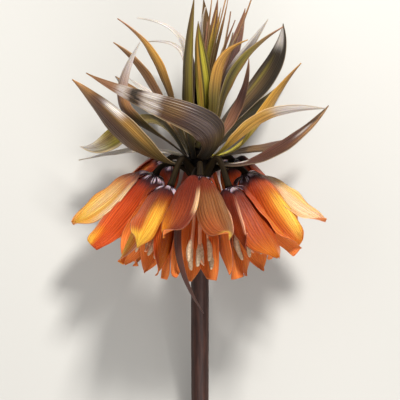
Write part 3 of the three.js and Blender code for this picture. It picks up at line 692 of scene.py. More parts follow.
# ---------------------------------------------------------------------------------------------------------
# The head's place, and the surfaces of its petals and leaves
# ---------------------------------------------------------------------------------------------------------
class Head:
    """Where the hub sits in the row, and what turns head coordinates into the row's metres."""

    def __init__(self, stalk: StalkForm, low: Vector, high: Vector) -> None:
        """Finds the hub from the frame's stalk.

        Args:
            stalk: The stalk's sizes.
            low: The lowest corner of the frame's stalk, in metres.
            high: Its highest corner.
        """
        sin, cos = math.sin(stalk.tilt), math.cos(stalk.tilt)
        self.height = stalk.radius * cos + stalk.length * sin
        self.up = Vector((0.0, sin, cos))
        reach = stalk.length * cos + stalk.radius * sin
        self.hub = Vector(((low.x + high.x) / 2, low.y + reach * MM, self.height * MM))
        self.matrix = Matrix.Translation(self.hub) @ Matrix.Rotation(stalk.tilt, 4, "X") @ Matrix.Scale(MM, 4)

    def lay(self, point: Vector, clearance: float, softness: float) -> Vector:
        """Lifts a point onto the surface that the flower lies on.

        Args:
            point: A point in head coordinates.
            clearance: The least height that it keeps above the surface.
            softness: How gently it bends onto it.

        Returns:
            The point, lifted where it was too low.
        """
        height = self.height + point.dot(self.up)
        rise = height - clearance
        if rise >= 2 * softness:
            return point
        lifted = 0.0 if rise <= -2 * softness else (rise + 2 * softness) ** 2 / (8 * softness)
        return point + self.up * (clearance + lifted - height)


class Bell:
    """The directions and petal surfaces of one bell, in head coordinates."""

    def __init__(self, index: int, petal: PetalForm, head: Head) -> None:
        """Sets up a bell.

        Args:
            index: Its place in the ring of bells.
            petal: The petals' sizes.
            head: What the bell belongs to.
        """
        self.form = BELLS[index]
        self.number = index + 1
        self.petal = petal
        self.head = head
        lean = math.radians(self.form.lean)
        self.out = compass(self.form.at)
        self.base = self.out * self.form.reach + STALK_AXIS * self.form.height
        self.axis = self.out * math.sin(lean) - STALK_AXIS * math.cos(lean)
        self.outward = self.out * math.cos(lean) + STALK_AXIS * math.sin(lean)
        self.round = compass(self.form.at + 90)
        self.slope_ahead = self._neighbour_slope(BELLS[index - 1])
        self.slope_behind = self._neighbour_slope(BELLS[(index + 1) % len(BELLS)])

    def _neighbour_slope(self, other: BellForm) -> float:
        """The slope of the plane half way to a neighbour."""
        gap = (other.at - self.form.at + 180) % 360 - 180
        return math.tan(math.radians(abs(gap) / 2))

    def side(self, s: float, facing: float, opened: float, extra_flare: float) -> tuple[float, float, float]:
        """The bell's side at a share of its length.

        Args:
            s: The share of the length.
            facing: How much the side faces out from the stalk, from -1 to 1.
            opened: Degrees by which the whole petal stands out more.
            extra_flare: Degrees by which its end does.

        Returns:
            The distance from the axis, the distance along it, and the slope away from it.
        """
        p = self.petal
        body = p.body[0] + p.body[1] * facing + opened
        flare = p.flare[0] + p.flare[1] * facing + extra_flare

        def slope_at(part: float) -> float:
            """The slope away from the axis at a share of the petal's length."""
            shoulder = (p.shoulder_slope - body) * math.exp(-((part / p.shoulder_share) ** p.shoulder_power))
            return math.radians(body + flare * part**p.flare_power + shoulder)

        steps = max(1, math.ceil(s * p.side_steps))
        stride = self.form.length * s / steps
        from_axis, along = p.side_start
        for i in range(steps):
            slope = slope_at(s * (i + 0.5) / steps)
            from_axis += stride * math.sin(slope)
            along += stride * math.cos(slope)
        return from_axis, along, slope_at(s)

    def crowd(self, point: Vector, layer: float) -> Vector:
        """Presses a point between the neighbouring bells, off the stalk and onto the surface below.

        Args:
            point: A point of a petal.
            layer: How much further in it stays, as part of an inner petal.

        Returns:
            The pressed point.
        """
        p = self.petal
        reach, side = point.dot(self.out), point.dot(self.round)
        nearest = p.to_axis + layer
        over = reach - 2 * nearest
        kept = reach if over > 0 else nearest + nearest * math.exp(over / nearest)
        slope = self.slope_ahead if side > 0 else self.slope_behind
        pressed = soft_limit(side, kept * slope - p.neighbour_gap - layer)
        moved = point + self.out * (kept - reach) + self.round * (pressed - side)
        return self.head.lay(moved, p.solid_thickness / 2 + layer, p.press_softness)

    def outline(self, s: float) -> float:
        """Half a petal's width as a share of its widest.

        Args:
            s: The share of the petal's length.

        Returns:
            The share of its widest.
        """
        p = self.petal
        if s < p.widest:
            return lerp(p.root_share, 1.0, math.sin(math.pi / 2 * s / p.widest) ** p.root_power)
        fullness, bluntness = p.tip_powers
        return max(p.tip_share, (1 - ((s - p.widest) / (1 - p.widest)) ** fullness) ** bluntness)

    def pose(self, number: int) -> Pose:
        """The pose of a petal. One that has none of its own sweeps and lifts a little.

        Args:
            number: Which of the six.

        Returns:
            Its pose.
        """
        p = self.petal
        sweep_phase, lift_phase, bell_phase = p.variety_phases
        sweep = p.sweep_variety * math.sin(sweep_phase * number + self.form.at)
        lift = p.lift_variety * math.sin(lift_phase * number + bell_phase * self.form.at)
        return POSES.get((self.number, number), Pose(sweep, lift))

    def relief(self, number: int, s: float, t: float) -> float:
        """How far a petal's ripples, pleats and hump rise outwards, less the groove of its midrib.

        Args:
            number: Which of the six.
            s: The share of the petal's length.
            t: The place across it, from -1 to 1.

        Returns:
            The height in millimetres.
        """
        p, at = self.petal, self.form.at
        along_phase, petal_phase, across_phase = p.ripple_phases
        wave = math.sin(along_phase * s + petal_phase * number + at + across_phase * t)
        ripple = p.ripple * t * t * smooth(p.ripple_rise * (s - p.ripple_start)) * wave
        wave = math.sin(p.fine_ripple_pitch * s + p.fine_ripple_phase * number + at)
        fine = p.fine_ripple * t**4 * smooth(p.fine_ripple_rise * (s - p.ripple_start)) * wave
        petal_phase, along_phase = p.pleat_phases
        wave = math.sin(p.pleats * t + petal_phase * number + along_phase * s)
        pleats = p.pleat * smooth((s - p.pleat_start) / p.pleat_rise) * self.outline(s) * wave
        hump = p.hump * math.exp(-(((s - p.hump_at) / p.hump_length) ** 2)) * (1 - t * t)
        groove = p.midrib * math.exp(-((t / p.midrib_width) ** 2)) * smooth(s / p.midrib_start) * (1 - s)
        return ripple + fine + pleats + hump - groove

    def petal_surface(self, number: int) -> Surface:
        """The mid-surface of one petal.

        Args:
            number: Which of the six; odd ones lie in the inner layer.

        Returns:
            A function of the share along the petal and the place across it, from -1 to 1.
        """
        p = self.petal
        inner = number % 2 == 1
        start = math.radians(PETAL_TURN * number + self.form.turn)
        pose = self.pose(number)
        sweep, twist = math.radians(pose.sweep), math.radians(pose.twist)
        flare = pose.lift + (0.0 if inner else p.outer_flare)

        def place(s: float, t: float) -> Vector:
            """The point at a share along the petal and a place across it.

            Args:
                s: The share of the length.
                t: The place across, from -1 to 1.

            Returns:
                The point.
            """
            around = start + sweep * s
            cos, sin = math.cos(around), math.sin(around)
            radial = self.outward * cos + self.round * sin
            tangent = self.round * cos - self.outward * sin
            width = p.half_width * (1 - p.side_loss * (1 - cos))
            facing = math.cos(around + math.radians(p.half_angle) * t)
            from_axis, along, slope = self.side(s, facing, pose.open, flare)
            layer = p.layer * smooth(s / p.shoulder) if inner else 0.0
            curve = lerp(p.root_curve, max(p.opening * from_axis, p.least_curve), smooth(s / p.curve_turn))
            sector = p.sector_share * from_axis - p.edge_gap + p.sector_spread * max(0.0, s - p.shoulder)
            arc = t * min(width * self.outline(s), sector) / curve
            bent = smooth(s / p.bend_share)
            deep = layer + curve * (1 - math.cos(arc)) - self.relief(number, s, t) - pose.curl * t * t * bent
            wide = curve * math.sin(arc)
            turn_cos, turn_sin = math.cos(twist * bent), math.sin(twist * bent)
            inward = deep * turn_cos - wide * turn_sin
            point = self.base + self.axis * (along + inward * math.sin(slope))
            point += radial * (from_axis - inward * math.cos(slope))
            point += tangent * (wide * turn_cos + deep * turn_sin)
            return self.crowd(point, layer)

        return place


def leaf_surface(leaf: LeafForm, blade: BladeForm, stalk: StalkForm, head: Head) -> Surface:
    """The mid-surface of a leaf.

    Args:
        leaf: The leaf's own form.
        blade: What all leaves share.
        stalk: What it stands on.
        head: What lays it on the surface.

    Returns:
        A function of the share along the leaf and the place across it, from -1 to 1.
    """
    height = WHORL_HEIGHTS[leaf.whorl]
    root = compass(leaf.at) * (stalk.radius_at(height) + blade.seat) + STALK_AXIS * height
    centre_at, direction_at = cubic_through([root, *(Vector(place) for place in leaf.path)])
    round_hub = compass(leaf.at - 90)
    roll = math.radians(leaf.roll)

    def outline(s: float) -> float:
        """Half the leaf's width as a share of its widest."""
        rise, past = smooth(s / leaf.widest), max(0.0, s - leaf.widest) / (1 - leaf.widest)
        return max(blade.tip_share, 1 - past**blade.tip_power) if past else lerp(leaf.root, 1.0, rise)

    def place(s: float, t: float) -> Vector:
        """The point at a share along the leaf and a place across it.

        Args:
            s: The share of the length.
            t: The place across, from -1 to 1.

        Returns:
            The point.
        """
        centre, tangent = centre_at(s), direction_at(s)
        outward = Vector((centre.x, 0.0, centre.z)).normalized()
        facing = STALK_AXIS * blade.axis_pull - outward
        sideways = facing.cross(tangent).normalized().lerp(round_hub, 1 - smooth(s / blade.root_turn))
        sideways = (sideways - tangent * sideways.dot(tangent)).normalized()
        upper = tangent.cross(sideways)
        turn = roll * smooth(s / blade.roll_turn)
        breadth = outline(s)
        across = leaf.width / 2 * breadth * t
        cup = lerp(*blade.cup, smooth(blade.cup_rise * s)) * across * t
        margin = t * t * smooth((s - blade.wave_start) * blade.wave_rise) * breadth
        cup += blade.wave * margin * math.sin(blade.wave_pitch * s + leaf.at + blade.wave_lean * t)
        wave = math.sin(blade.fine_wave_pitch * s + blade.fine_wave_phase * leaf.at)
        cup += blade.fine_wave * margin * wave
        cup += blade.rib * smooth(s / blade.rib_start) * breadth * math.cos(math.pi * blade.ribs * t)
        point = centre + sideways * (across * math.cos(turn) - cup * math.sin(turn))
        point += upper * (cup * math.cos(turn) + across * math.sin(turn))
        return head.lay(point, blade.solid_thickness / 2, blade.softness)

    return place


def drooping_surface(leaf: LeafForm, droop: DroopForm, stalk: StalkForm) -> Surface:
    """The mid-surface of the leaf that hangs down between two bells.

    Args:
        leaf: Its form.
        droop: How it hangs.
        stalk: What its root is in.

    Returns:
        A function of the share along the leaf and the place across it, from -1 to 1.
    """
    root = compass(leaf.at) * (stalk.radius_at(0.0) - droop.root_depth)
    centre_at, direction_at = cubic_through([root, *(Vector(place) for place in leaf.path)])

    def place(s: float, t: float) -> Vector:
        """The point at a share along the leaf and a place across it.

        Args:
            s: The share of the length.
            t: The place across, from -1 to 1.

        Returns:
            The point.
        """
        tangent = direction_at(s)
        sideways = Vector((1.0, 0.0, 0.0))
        sideways = (sideways - tangent * sideways.dot(tangent)).normalized()
        taper = 1 - droop.taper * max(0.0, s - leaf.widest) ** 2
        half = leaf.width / 2 * lerp(leaf.root, 1.0, smooth(s / leaf.widest)) * taper
        wave = droop.wave * math.sin(droop.wave_pitch * s + droop.wave_lean * t)
        fold = sideways.cross(tangent) * (half * (droop.fold * t * t + wave))
        return centre_at(s) + sideways * (half * t) + fold

    return place


# ---------------------------------------------------------------------------------------------------------
# Meshes
# ---------------------------------------------------------------------------------------------------------
class Piece:
    """A mesh in the making, from sheets and tubes laid out on bmesh's grids."""

    FIRST_SIDE = Vector((0.31, 0.17, 0.93))
    MERGE_WITHIN = 1e-4
    BALL_CELLS = {"u_segments": 14, "v_segments": 8}
    MARGIN_POWER = 3

    def __init__(self, name: str) -> None:
        """Starts an empty mesh.

        Args:
            name: The piece's name.
        """
        self.name = name
        self.bm = bmesh.new()
        self.uv = self.bm.loops.layers.uv.new(SHEET_UV)
        self.tint = self.bm.verts.layers.float_color.new(TINT)
        self.dusk = self.bm.verts.layers.float.new(DUSK)
        self.weight = self.bm.verts.layers.deform.verify()

    def sheet(
        self,
        rows: int,
        columns: int,
        place: Surface,
        paint: Paint | None = None,
        stretch: float = 1.0,
        margin: float = 1.0,
    ) -> list[bmesh.types.BMVert]:
        """Lays a grid out on a surface.

        Args:
            rows: Cells along it.
            columns: Cells across it.
            place: The surface.
            paint: What each vertex's tint is.
            stretch: Above 1 the rows are closer at the root.
            margin: The share of the full thickness that is left at the margins.

        Returns:
            The sheet's vertices.
        """
        verts = bmesh.ops.create_grid(self.bm, x_segments=columns, y_segments=rows, size=1.0)["verts"]
        where = {v: (((v.co.y + 1) / 2) ** stretch, v.co.x) for v in verts}
        for face in {face for v in verts for face in v.link_faces}:
            for loop in face.loops:
                s, t = where[loop.vert]
                loop[self.uv].uv = ((t + 1) / 2, s)
        for v, (s, t) in where.items():
            v.co = place(s, t)
            v[self.weight][0] = lerp(1.0, margin, abs(t) ** self.MARGIN_POWER)
            if paint:
                v[self.tint] = paint(s, t)
        return verts

    def tube(
        self,
        stations: Sequence[tuple[float, float]],
        sides: int,
        centre_at: Callable[[float], Vector],
        direction_at: Callable[[float], Vector],
        shape: Callable[[float, float], float] | None = None,
        material: int = 0,
    ) -> None:
        """Lays a closed round body along a curve.

        Args:
            stations: Pairs of (share of the way, radius), with a radius of 0 at both ends.
            sides: Its sides.
            centre_at: The curve.
            direction_at: The curve's direction.
            shape: The radius's factor at a share of the way and an angle round.
            material: The slot of its material.
        """
        rows = len(stations) - 1
        frames, side = [], self.FIRST_SIDE
        for share, _ in stations:
            along = direction_at(share)
            side = (side - along * side.dot(along)).normalized()
            frames.append((centre_at(share), side.copy(), along.cross(side)))

        def place(s: float, t: float) -> Vector:
            """A point of the tube's side.

            Args:
                s: The share of the stations.
                t: The angle round the curve, in half turns.

            Returns:
                The point.
            """
            share, radius = stations[round(s * rows)]
            centre, across, up = frames[round(s * rows)]
            angle = math.pi * t
            reach = radius * (shape(share, angle) if shape else 1.0)
            return centre + across * (reach * math.cos(angle)) + up * (reach * math.sin(angle))

        verts = self.sheet(rows, sides, place)
        faces = list({face for v in verts for face in v.link_faces})
        for face in faces:
            face.material_index = material
        bmesh.ops.remove_doubles(self.bm, verts=verts, dist=self.MERGE_WITHIN)
        faces = [face for face in faces if face.is_valid]
        bmesh.ops.recalc_face_normals(self.bm, faces=faces)

    def ball(self, centre: Vector, radii: Vector) -> None:
        """Adds a round body with its own radii along the three axes."""
        matrix = Matrix.Translation(centre) @ Matrix.Diagonal((*radii, 1.0))
        bmesh.ops.create_uvsphere(self.bm, **self.BALL_CELLS, radius=1.0, matrix=matrix)

    def face_away(self, verts: Sequence[bmesh.types.BMVert], middle: Vector) -> None:
        """Turns a sheet's faces so that most of them look away from a point.

        Args:
            verts: The sheet's vertices.
            middle: The point.
        """
        faces = list({face for v in verts for face in v.link_faces})
        if sum(face.normal.dot(face.calc_center_median() - middle) for face in faces) < 0:
            bmesh.ops.reverse_faces(self.bm, faces=faces)

    def finish(self, materials: Sequence[bpy.types.Material], head: Head) -> bpy.types.Object:
        """Makes the object, with its place in its mesh.

        Args:
            materials: One for each slot.
            head: What turns head coordinates into metres.

        Returns:
            The finished object, linked to the scene.
        """
        self.bm.transform(head.matrix)
        mesh = bpy.data.meshes.new(self.name)
        self.bm.to_mesh(mesh)
        self.bm.free()
        mesh.shade_smooth()
        for material in materials:
            mesh.materials.append(material)
        piece = bpy.data.objects.new(self.name, mesh)
        piece.vertex_groups.new(name=BODY_WEIGHT)
        bpy.context.scene.collection.objects.link(piece)
        return piece


def thicken(piece: bpy.types.Object, thickness: float, margin_share: float, backed: bool) -> None:
    """Gives a sheet its thickness, thinner to the margins.

    Args:
        piece: The sheet.
        thickness: Its full thickness in millimetres.
        margin_share: What is left of it at the margins.
        backed: Whether the back takes the second material.
    """
    rounded = piece.modifiers.new("rounded", "SUBSURF")
    rounded.levels = rounded.render_levels = 1
    solid = piece.modifiers.new("thick", "SOLIDIFY")
    solid.thickness = thickness * MM
    solid.offset = 0.0
    solid.vertex_group = BODY_WEIGHT
    solid.thickness_vertex_group = margin_share
    solid.material_offset = 1 if backed else 0


def seat(piece: bpy.types.Object, slot: str, nodes: Sequence[str] = ()) -> None:
    """Settles a piece in the frame.

    Args:
        piece: What is settled.
        slot: Not used.
        nodes: The frame's nodes that it stands for.
    """
    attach(piece, BODY)
    if nodes:
        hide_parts(*nodes)
    LOG.info("%s: %d vertices, for %s", piece.name, len(piece.data.vertices), ", ".join(nodes) or "nothing")


# ---------------------------------------------------------------------------------------------------------
# Shader nodes
# ---------------------------------------------------------------------------------------------------------
def colour(code: int) -> Colour:
    """The linear colour of a display colour.

    Args:
        code: The display colour, written as 0xRRGGBB.

    Returns:
        Its linear red, green and blue, and an alpha of 1.
    """

    def linear(value: int) -> float:
        """The linear value of a channel's byte."""
        v = value / 255
        return v / 12.92 if v <= 0.04045 else ((v + 0.055) / 1.055) ** 2.4

    return linear(code >> 16 & 255), linear(code >> 8 & 255), linear(code & 255), 1.0


class Graph:
    """Adds shader nodes to a tree and joins them, so that a finish reads as a sum."""

    def __init__(self, tree: bpy.types.NodeTree) -> None:
        """Takes the tree that the nodes go into."""
        self.tree = tree

    def node(self, kind: str, inputs: dict | None = None, **settings: object) -> bpy.types.Node:
        """Adds a node.

        Args:
            kind: Its type.
            inputs: Values or outputs for its inputs, by name or number.
            settings: Its properties.

        Returns:
            The node.
        """
        made = self.tree.nodes.new(kind)
        for name, value in settings.items():
            setattr(made, name, value)
        for name, value in (inputs or {}).items():
            self.feed(made.inputs[name], value)
        return made

    def feed(self, socket: bpy.types.NodeSocket, value: object) -> None:
        """Joins a socket to an output, or sets its value.

        Args:
            socket: The input.
            value: The output or the value.
        """
        if isinstance(value, bpy.types.NodeSocket):
            self.tree.links.new(value, socket)
        else:
            socket.default_value = value

    def maths(self, operation: str, *values: object) -> bpy.types.NodeSocket:
        """The result of a Math node."""
        return self.node("ShaderNodeMath", dict(enumerate(values)), operation=operation).outputs[0]

    def times(self, *values: object) -> bpy.types.NodeSocket:
        """The product of values."""
        return reduce(partial(self.maths, "MULTIPLY"), values)

    def plus(self, *values: object) -> bpy.types.NodeSocket:
        """The sum of values."""
        return reduce(partial(self.maths, "ADD"), values)

    def less(self, value: object, taken: object) -> bpy.types.NodeSocket:
        """A value less another."""
        return self.maths("SUBTRACT", value, taken)

    def mix(self, share: object, first: object, second: object, blend: str = "MIX") -> bpy.types.NodeSocket:
        """The first colour with a share of the second laid over it."""
        made = self.node("ShaderNodeMix", {0: share, 6: first, 7: second}, data_type="RGBA", blend_type=blend)
        return made.outputs[2]

    def darken(self, share: object, first: object, second: object) -> bpy.types.NodeSocket:
        """A colour with a share of another multiplied into it."""
        return self.mix(share, first, second, "MULTIPLY")

    def blend(self, share: object, first: object, second: object) -> bpy.types.NodeSocket:
        """A number between two others."""
        return self.node("ShaderNodeMix", {0: share, 2: first, 3: second}, data_type="FLOAT").outputs[0]

    def fade(self, value: object, low: float, high: float) -> bpy.types.NodeSocket:
        """Rises smoothly from 0 at low to 1 at high."""
        inputs = {"Value": value, "From Min": low, "From Max": high}
        return self.node("ShaderNodeMapRange", inputs, interpolation_type="SMOOTHSTEP").outputs[0]

    def split(self, vector: object) -> tuple[bpy.types.NodeSocket, ...]:
        """The three parts of a vector."""
        return tuple(self.node("ShaderNodeSeparateXYZ", {0: vector}).outputs)

    def join(self, x: object, y: object, z: object = 0.0) -> bpy.types.NodeSocket:
        """A vector from its parts."""
        return self.node("ShaderNodeCombineXYZ", {0: x, 1: y, 2: z}).outputs[0]

    def cloud(self, vector: object, scale: float, detail: float = 2.0) -> bpy.types.NodeSocket:
        """Soft noise from 0 to 1."""
        inputs = {"Vector": vector, "Scale": scale, "Detail": detail}
        return self.node("ShaderNodeTexNoise", inputs).outputs[0]

    def pattern(self, group: bpy.types.NodeTree, inputs: dict) -> dict[str, bpy.types.NodeSocket]:
        """Places a shared pattern and returns its outputs by name."""
        made = self.node("ShaderNodeGroup", inputs, node_tree=group)
        return {output.name: output for output in made.outputs}


@dataclass
class Patterns:
    """The patterns that several finishes share, each a node group made once."""

    vein_drift: tuple[float, float] = (5.0, 2.2)
    streak_edges: tuple[float, float] = (0.28, 0.72)
    patch_edges: tuple[float, float] = (0.3, 0.7)
    grain_scale: float = 9.0

    def __post_init__(self) -> None:
        """Makes the groups."""
        self.veins = self._veins()
        self.fibres = self._fibres()
        self.mottle = self._mottle()

    @staticmethod
    def _start(
        name: str, place: str, numbers: Sequence[str], outputs: Sequence[str]
    ) -> tuple[Graph, dict[str, bpy.types.NodeSocket], bpy.types.Node]:
        """Starts a group.

        Args:
            name: Its name.
            place: The name of its one input that is a vector.
            numbers: The names of its inputs that are numbers.
            outputs: The names of its outputs, all numbers.

        Returns:
            The group's graph, its inputs by name, and the node that takes its outputs.
        """
        tree = bpy.data.node_groups.new(name, "ShaderNodeTree")
        tree.interface.new_socket(name=place, in_out="INPUT", socket_type="NodeSocketVector")
        for key in numbers:
            tree.interface.new_socket(name=key, in_out="INPUT", socket_type="NodeSocketFloat")
        for key in outputs:
            tree.interface.new_socket(name=key, in_out="OUTPUT", socket_type="NodeSocketFloat")
        graph = Graph(tree)
        given = {socket.name: socket for socket in graph.node("NodeGroupInput").outputs}
        return graph, given, graph.node("NodeGroupOutput")

    def _veins(self) -> bpy.types.NodeTree:
        """Fine lines that run along a sheet and wander a little.

        Returns:
            The group.
        """
        numbers = ("Count", "Wander", "Width")
        g, given, out = self._start("lengthwise veins", "Sheet", numbers, ("Lines", "Swell"))
        across, along, seed = g.split(given["Sheet"])
        drift_across, drift_along = self.vein_drift
        drift = g.cloud(g.join(g.times(across, drift_across), g.times(along, drift_along), seed), 1.0, 3.0)
        shift = g.times(g.less(drift, 0.5), given["Wander"])
        place = g.plus(g.times(across, given["Count"]), shift)
        ridge = g.maths("ABSOLUTE", g.maths("SINE", g.times(place, math.pi)))
        thin = g.maths("DIVIDE", ridge, given["Width"])
        g.feed(out.inputs["Lines"], g.less(1.0, g.fade(thin, 0.0, 1.0)))
        g.feed(out.inputs["Swell"], ridge)
        return g.tree

    def _fibres(self) -> bpy.types.NodeTree:
        """Long soft streaks along a sheet.

        Returns:
            The group.
        """
        g, given, out = self._start("long fibres", "Sheet", ("Across", "Along"), ("Streaks",))
        across, along, seed = g.split(given["Sheet"])
        stretched = g.join(g.times(across, given["Across"]), g.times(along, given["Along"]), seed)
        g.feed(out.inputs["Streaks"], g.fade(g.cloud(stretched, 1.0, 4.0), *self.streak_edges))
        return g.tree

    def _mottle(self) -> bpy.types.NodeTree:
        """Soft patches and fine grain over a body.

        Returns:
            The group.
        """
        g, given, out = self._start("soft mottle", "Place", ("Scale",), ("Patches", "Grain"))
        inputs = {0: given["Place"], "Scale": given["Scale"]}
        place = g.node("ShaderNodeVectorMath", inputs, operation="SCALE").outputs[0]
        g.feed(out.inputs["Patches"], g.fade(g.cloud(place, 1.0, 3.0), *self.patch_edges))
        g.feed(out.inputs["Grain"], g.cloud(place, self.grain_scale, 2.0))
        return g.tree


@dataclass(frozen=True)
class Sheet:
    """What a finish reads from a petal or leaf: its paint, the places across and along it from 0 to 1, both
    with the sheet's seed, and how near its margin is."""

    paint: bpy.types.NodeSocket
    across: bpy.types.NodeSocket
    along: bpy.types.NodeSocket
    seeded: bpy.types.NodeSocket
    edge: bpy.types.NodeSocket


@dataclass(frozen=True)
class Finish:
    """What every finish has: its name, patterns, gloss and how far light goes into it, in metres."""

    name: str
    patterns: Patterns = field(repr=False)
    roughness: float = 0.5
    soft: float = 0.0
    soft_depth: float = 0.0015
    seed_spread: float = 9.0

    def start(self, settings: dict[str, object]) -> tuple[bpy.types.Material, Graph, bpy.types.Node]:
        """Starts the material.

        Args:
            settings: The shader's own values that are the same all over.

        Returns:
            The material, its graph and its shader.
        """
        material = bpy.data.materials.new(self.name)
        material.use_nodes = True
        shader = material.node_tree.nodes["Principled BSDF"]
        soft = {"Subsurface Weight": self.soft, "Subsurface Scale": self.soft_depth}
        for name, value in {**soft, **settings}.items():
            shader.inputs[name].default_value = value
        return material, Graph(material.node_tree), shader

    def sheet(self, g: Graph) -> Sheet:
        """Reads what a petal or leaf carries.

        Args:
            g: The graph that reads it.

        Returns:
            What it reads.
        """
        across, along, _ = g.split(g.node("ShaderNodeUVMap", uv_map=SHEET_UV).outputs[0])
        tint = g.node("ShaderNodeAttribute", attribute_name=TINT)
        seeded = g.join(across, along, g.times(tint.outputs["Alpha"], self.seed_spread))
        edge = g.maths("ABSOLUTE", g.less(g.times(across, 2.0), 1.0))
        return Sheet(tint.outputs["Color"], across, along, seeded, edge)

    def veins(
        self, g: Graph, place: bpy.types.NodeSocket, sizes: tuple[float, float, float]
    ) -> dict[str, bpy.types.NodeSocket]:
        """Places the veins, of so many across, with their wander and width."""
        inputs = dict(zip(("Count", "Wander", "Width"), sizes))
        return g.pattern(self.patterns.veins, {"Sheet": place, **inputs})

    def streaks(
        self, g: Graph, place: bpy.types.NodeSocket, sizes: tuple[float, float]
    ) -> bpy.types.NodeSocket:
        """Places the long fibres, of so many across and along."""
        across, along = sizes
        return g.pattern(self.patterns.fibres, {"Sheet": place, "Across": across, "Along": along})["Streaks"]

    @staticmethod
    def relief(g: Graph, shader: bpy.types.Node, height: object, depth: float) -> None:
        """Gives the shader a relief, with its depth in millimetres."""
        bump = g.node("ShaderNodeBump", {"Height": height, "Distance": depth * MM, "Strength": 1.0})
        g.feed(shader.inputs["Normal"], bump.outputs[0])


@dataclass(frozen=True)
class PetalFinish(Finish):
    """Petal skin: a plum top, partly painted shade, with patches of painted highlight, then the petal's
    paint, much of it painted light and shade, under fine dark veins, with a painted highlight along the rim.
    Reaches are shares of a petal, and those of the top are shares of its own dark part."""

    soft: float = 0.25
    plum: int = 0x26080F
    # Painted highlight: pale lilac patches on the glossy plum top.
    top_highlight: int = 0xD8BEC6
    # Painted light: glow is the colour of a petal lit through from behind.
    glow: int = 0xFF9648
    # Dark red towards the root: partly the petal's own colour and partly painted shade.
    flush_and_shade: int = 0x6E1E0E
    vein: int = 0x7E3A1E
    shade: int = 0xC88A58
    # A pale rim along the margins, a painted highlight.
    lit_rim: int = 0xF8C49C
    main_veins: tuple[float, float, float] = (14.0, 1.1, 0.42)
    fine_veins: tuple[float, float, float] = (36.0, 2.4, 0.5)
    fine_share: float = 0.5
    vein_share: float = 0.8
    narrow_streaks: tuple[float, float] = (26.0, 2.0)
    broad_streaks: tuple[float, float] = (7.0, 1.4)
    streak_shades: tuple[float, float] = (0.5, 0.3)
    stray: float = 0.2
    glow_share: float = 0.0
    flush_and_shade_share: float = 0.62
    flush_and_shade_reach: tuple[float, float] = (0.1, 0.46)
    lit_rim_share: float = 0.2
    lit_rim_edge: tuple[float, float] = (0.92, 1.0)
    lit_rim_reach: tuple[float, float] = (0.25, 0.5)
    top_share: float = 1.0
    top_reach: tuple[float, float] = (0.45, 1.1)
    top_stray: float = 0.035
    top_vein_stray: float = 0.008
    top_roughness: float = 0.6
    top_highlight_share: float = 0.75
    top_highlight_reach: tuple[float, float] = (0.34, 0.58)
    top_highlight_edges: tuple[float, float] = (0.5, 0.62)
    coat: float = 0.3
    crumple: tuple[float, float] = (6.0, 9.0)
    heights: tuple[float, float, float, float] = (0.5, 0.3, 1.4, 0.5)
    depth: float = 0.3

    def make(self) -> bpy.types.Material:
        """Makes the material, which reads each petal's paint and seed from its tint.

        Returns:
            The material.
        """
        radius = {"Subsurface Radius": (1.0, 0.45, 0.12)}
        material, g, shader = self.start({**radius, "Specular IOR Level": 0.2, "Coat Roughness": 0.14})
        sheet = self.sheet(g)
        main = self.veins(g, sheet.seeded, self.main_veins)
        fine = self.veins(g, sheet.seeded, self.fine_veins)
        streaks = self.streaks(g, sheet.seeded, self.narrow_streaks)
        broad = self.streaks(g, sheet.seeded, self.broad_streaks)
        stray = g.less(streaks, 0.5)
        lines = g.maths("MAXIMUM", main["Lines"], g.times(fine["Lines"], self.fine_share))
        narrow_shade, broad_shade = self.streak_shades
        # Painted light coming through the petal, where glow_share is set.
        skin = g.mix(self.glow_share, sheet.paint, colour(self.glow))
        place = g.plus(sheet.along, g.times(stray, self.stray))
        # Partly the petal's own dark red and partly painted shade, towards the root.
        flush_and_shade = g.times(g.less(1.0, g.fade(place, *self.flush_and_shade_reach)), self.flush_and_shade_share)
        skin = g.mix(flush_and_shade, skin, colour(self.flush_and_shade))
        skin = g.darken(g.times(streaks, narrow_shade), skin, colour(self.shade))
        skin = g.darken(g.times(broad, broad_shade), skin, colour(self.shade))
        skin = g.darken(g.times(lines, self.vein_share), skin, colour(self.vein))
        # Painted highlight along the margins, broken by the broad streaks.
        lit_rim = g.times(g.fade(sheet.edge, *self.lit_rim_edge), g.fade(sheet.along, *self.lit_rim_reach))
        skin = g.mix(g.times(lit_rim, broad, self.lit_rim_share), skin, colour(self.lit_rim))

        place = g.less(sheet.along, g.times(lines, self.top_vein_stray))
        place = g.plus(g.times(stray, self.top_stray), place)
        # The dark plum top: partly the petal's own colour and partly painted shade.
        dusk = g.node("ShaderNodeAttribute", attribute_name=DUSK).outputs["Fac"]
        reach = g.times(dusk, self.top_share)
        top = g.less(1.0, g.fade(place, *(g.times(reach, share) for share in self.top_reach)))
        # Patches of painted highlight on the upper part of the dark top.
        bare = g.fade(sheet.along, *(g.times(dusk, reach) for reach in self.top_highlight_reach))
        top_highlight = g.times(g.fade(broad, *self.top_highlight_edges), g.less(1.0, bare))
        plum = g.mix(g.times(top_highlight, self.top_highlight_share), colour(self.plum), colour(self.top_highlight))

        g.feed(shader.inputs["Base Color"], g.mix(top, skin, plum))
        g.feed(shader.inputs["Roughness"], g.blend(top, self.roughness, self.top_roughness))
        g.feed(shader.inputs["Coat Weight"], g.times(top, top_highlight, self.coat))
        across, along = self.crumple
        place = g.join(g.times(sheet.across, across), g.times(sheet.along, along), streaks)
        crumple = g.cloud(place, 1.0, 4.0)
        rises = zip((main["Swell"], fine["Swell"], crumple, streaks), self.heights)
        self.relief(g, shader, g.plus(*(g.times(rise, height) for rise, height in rises)), self.depth)
        return material


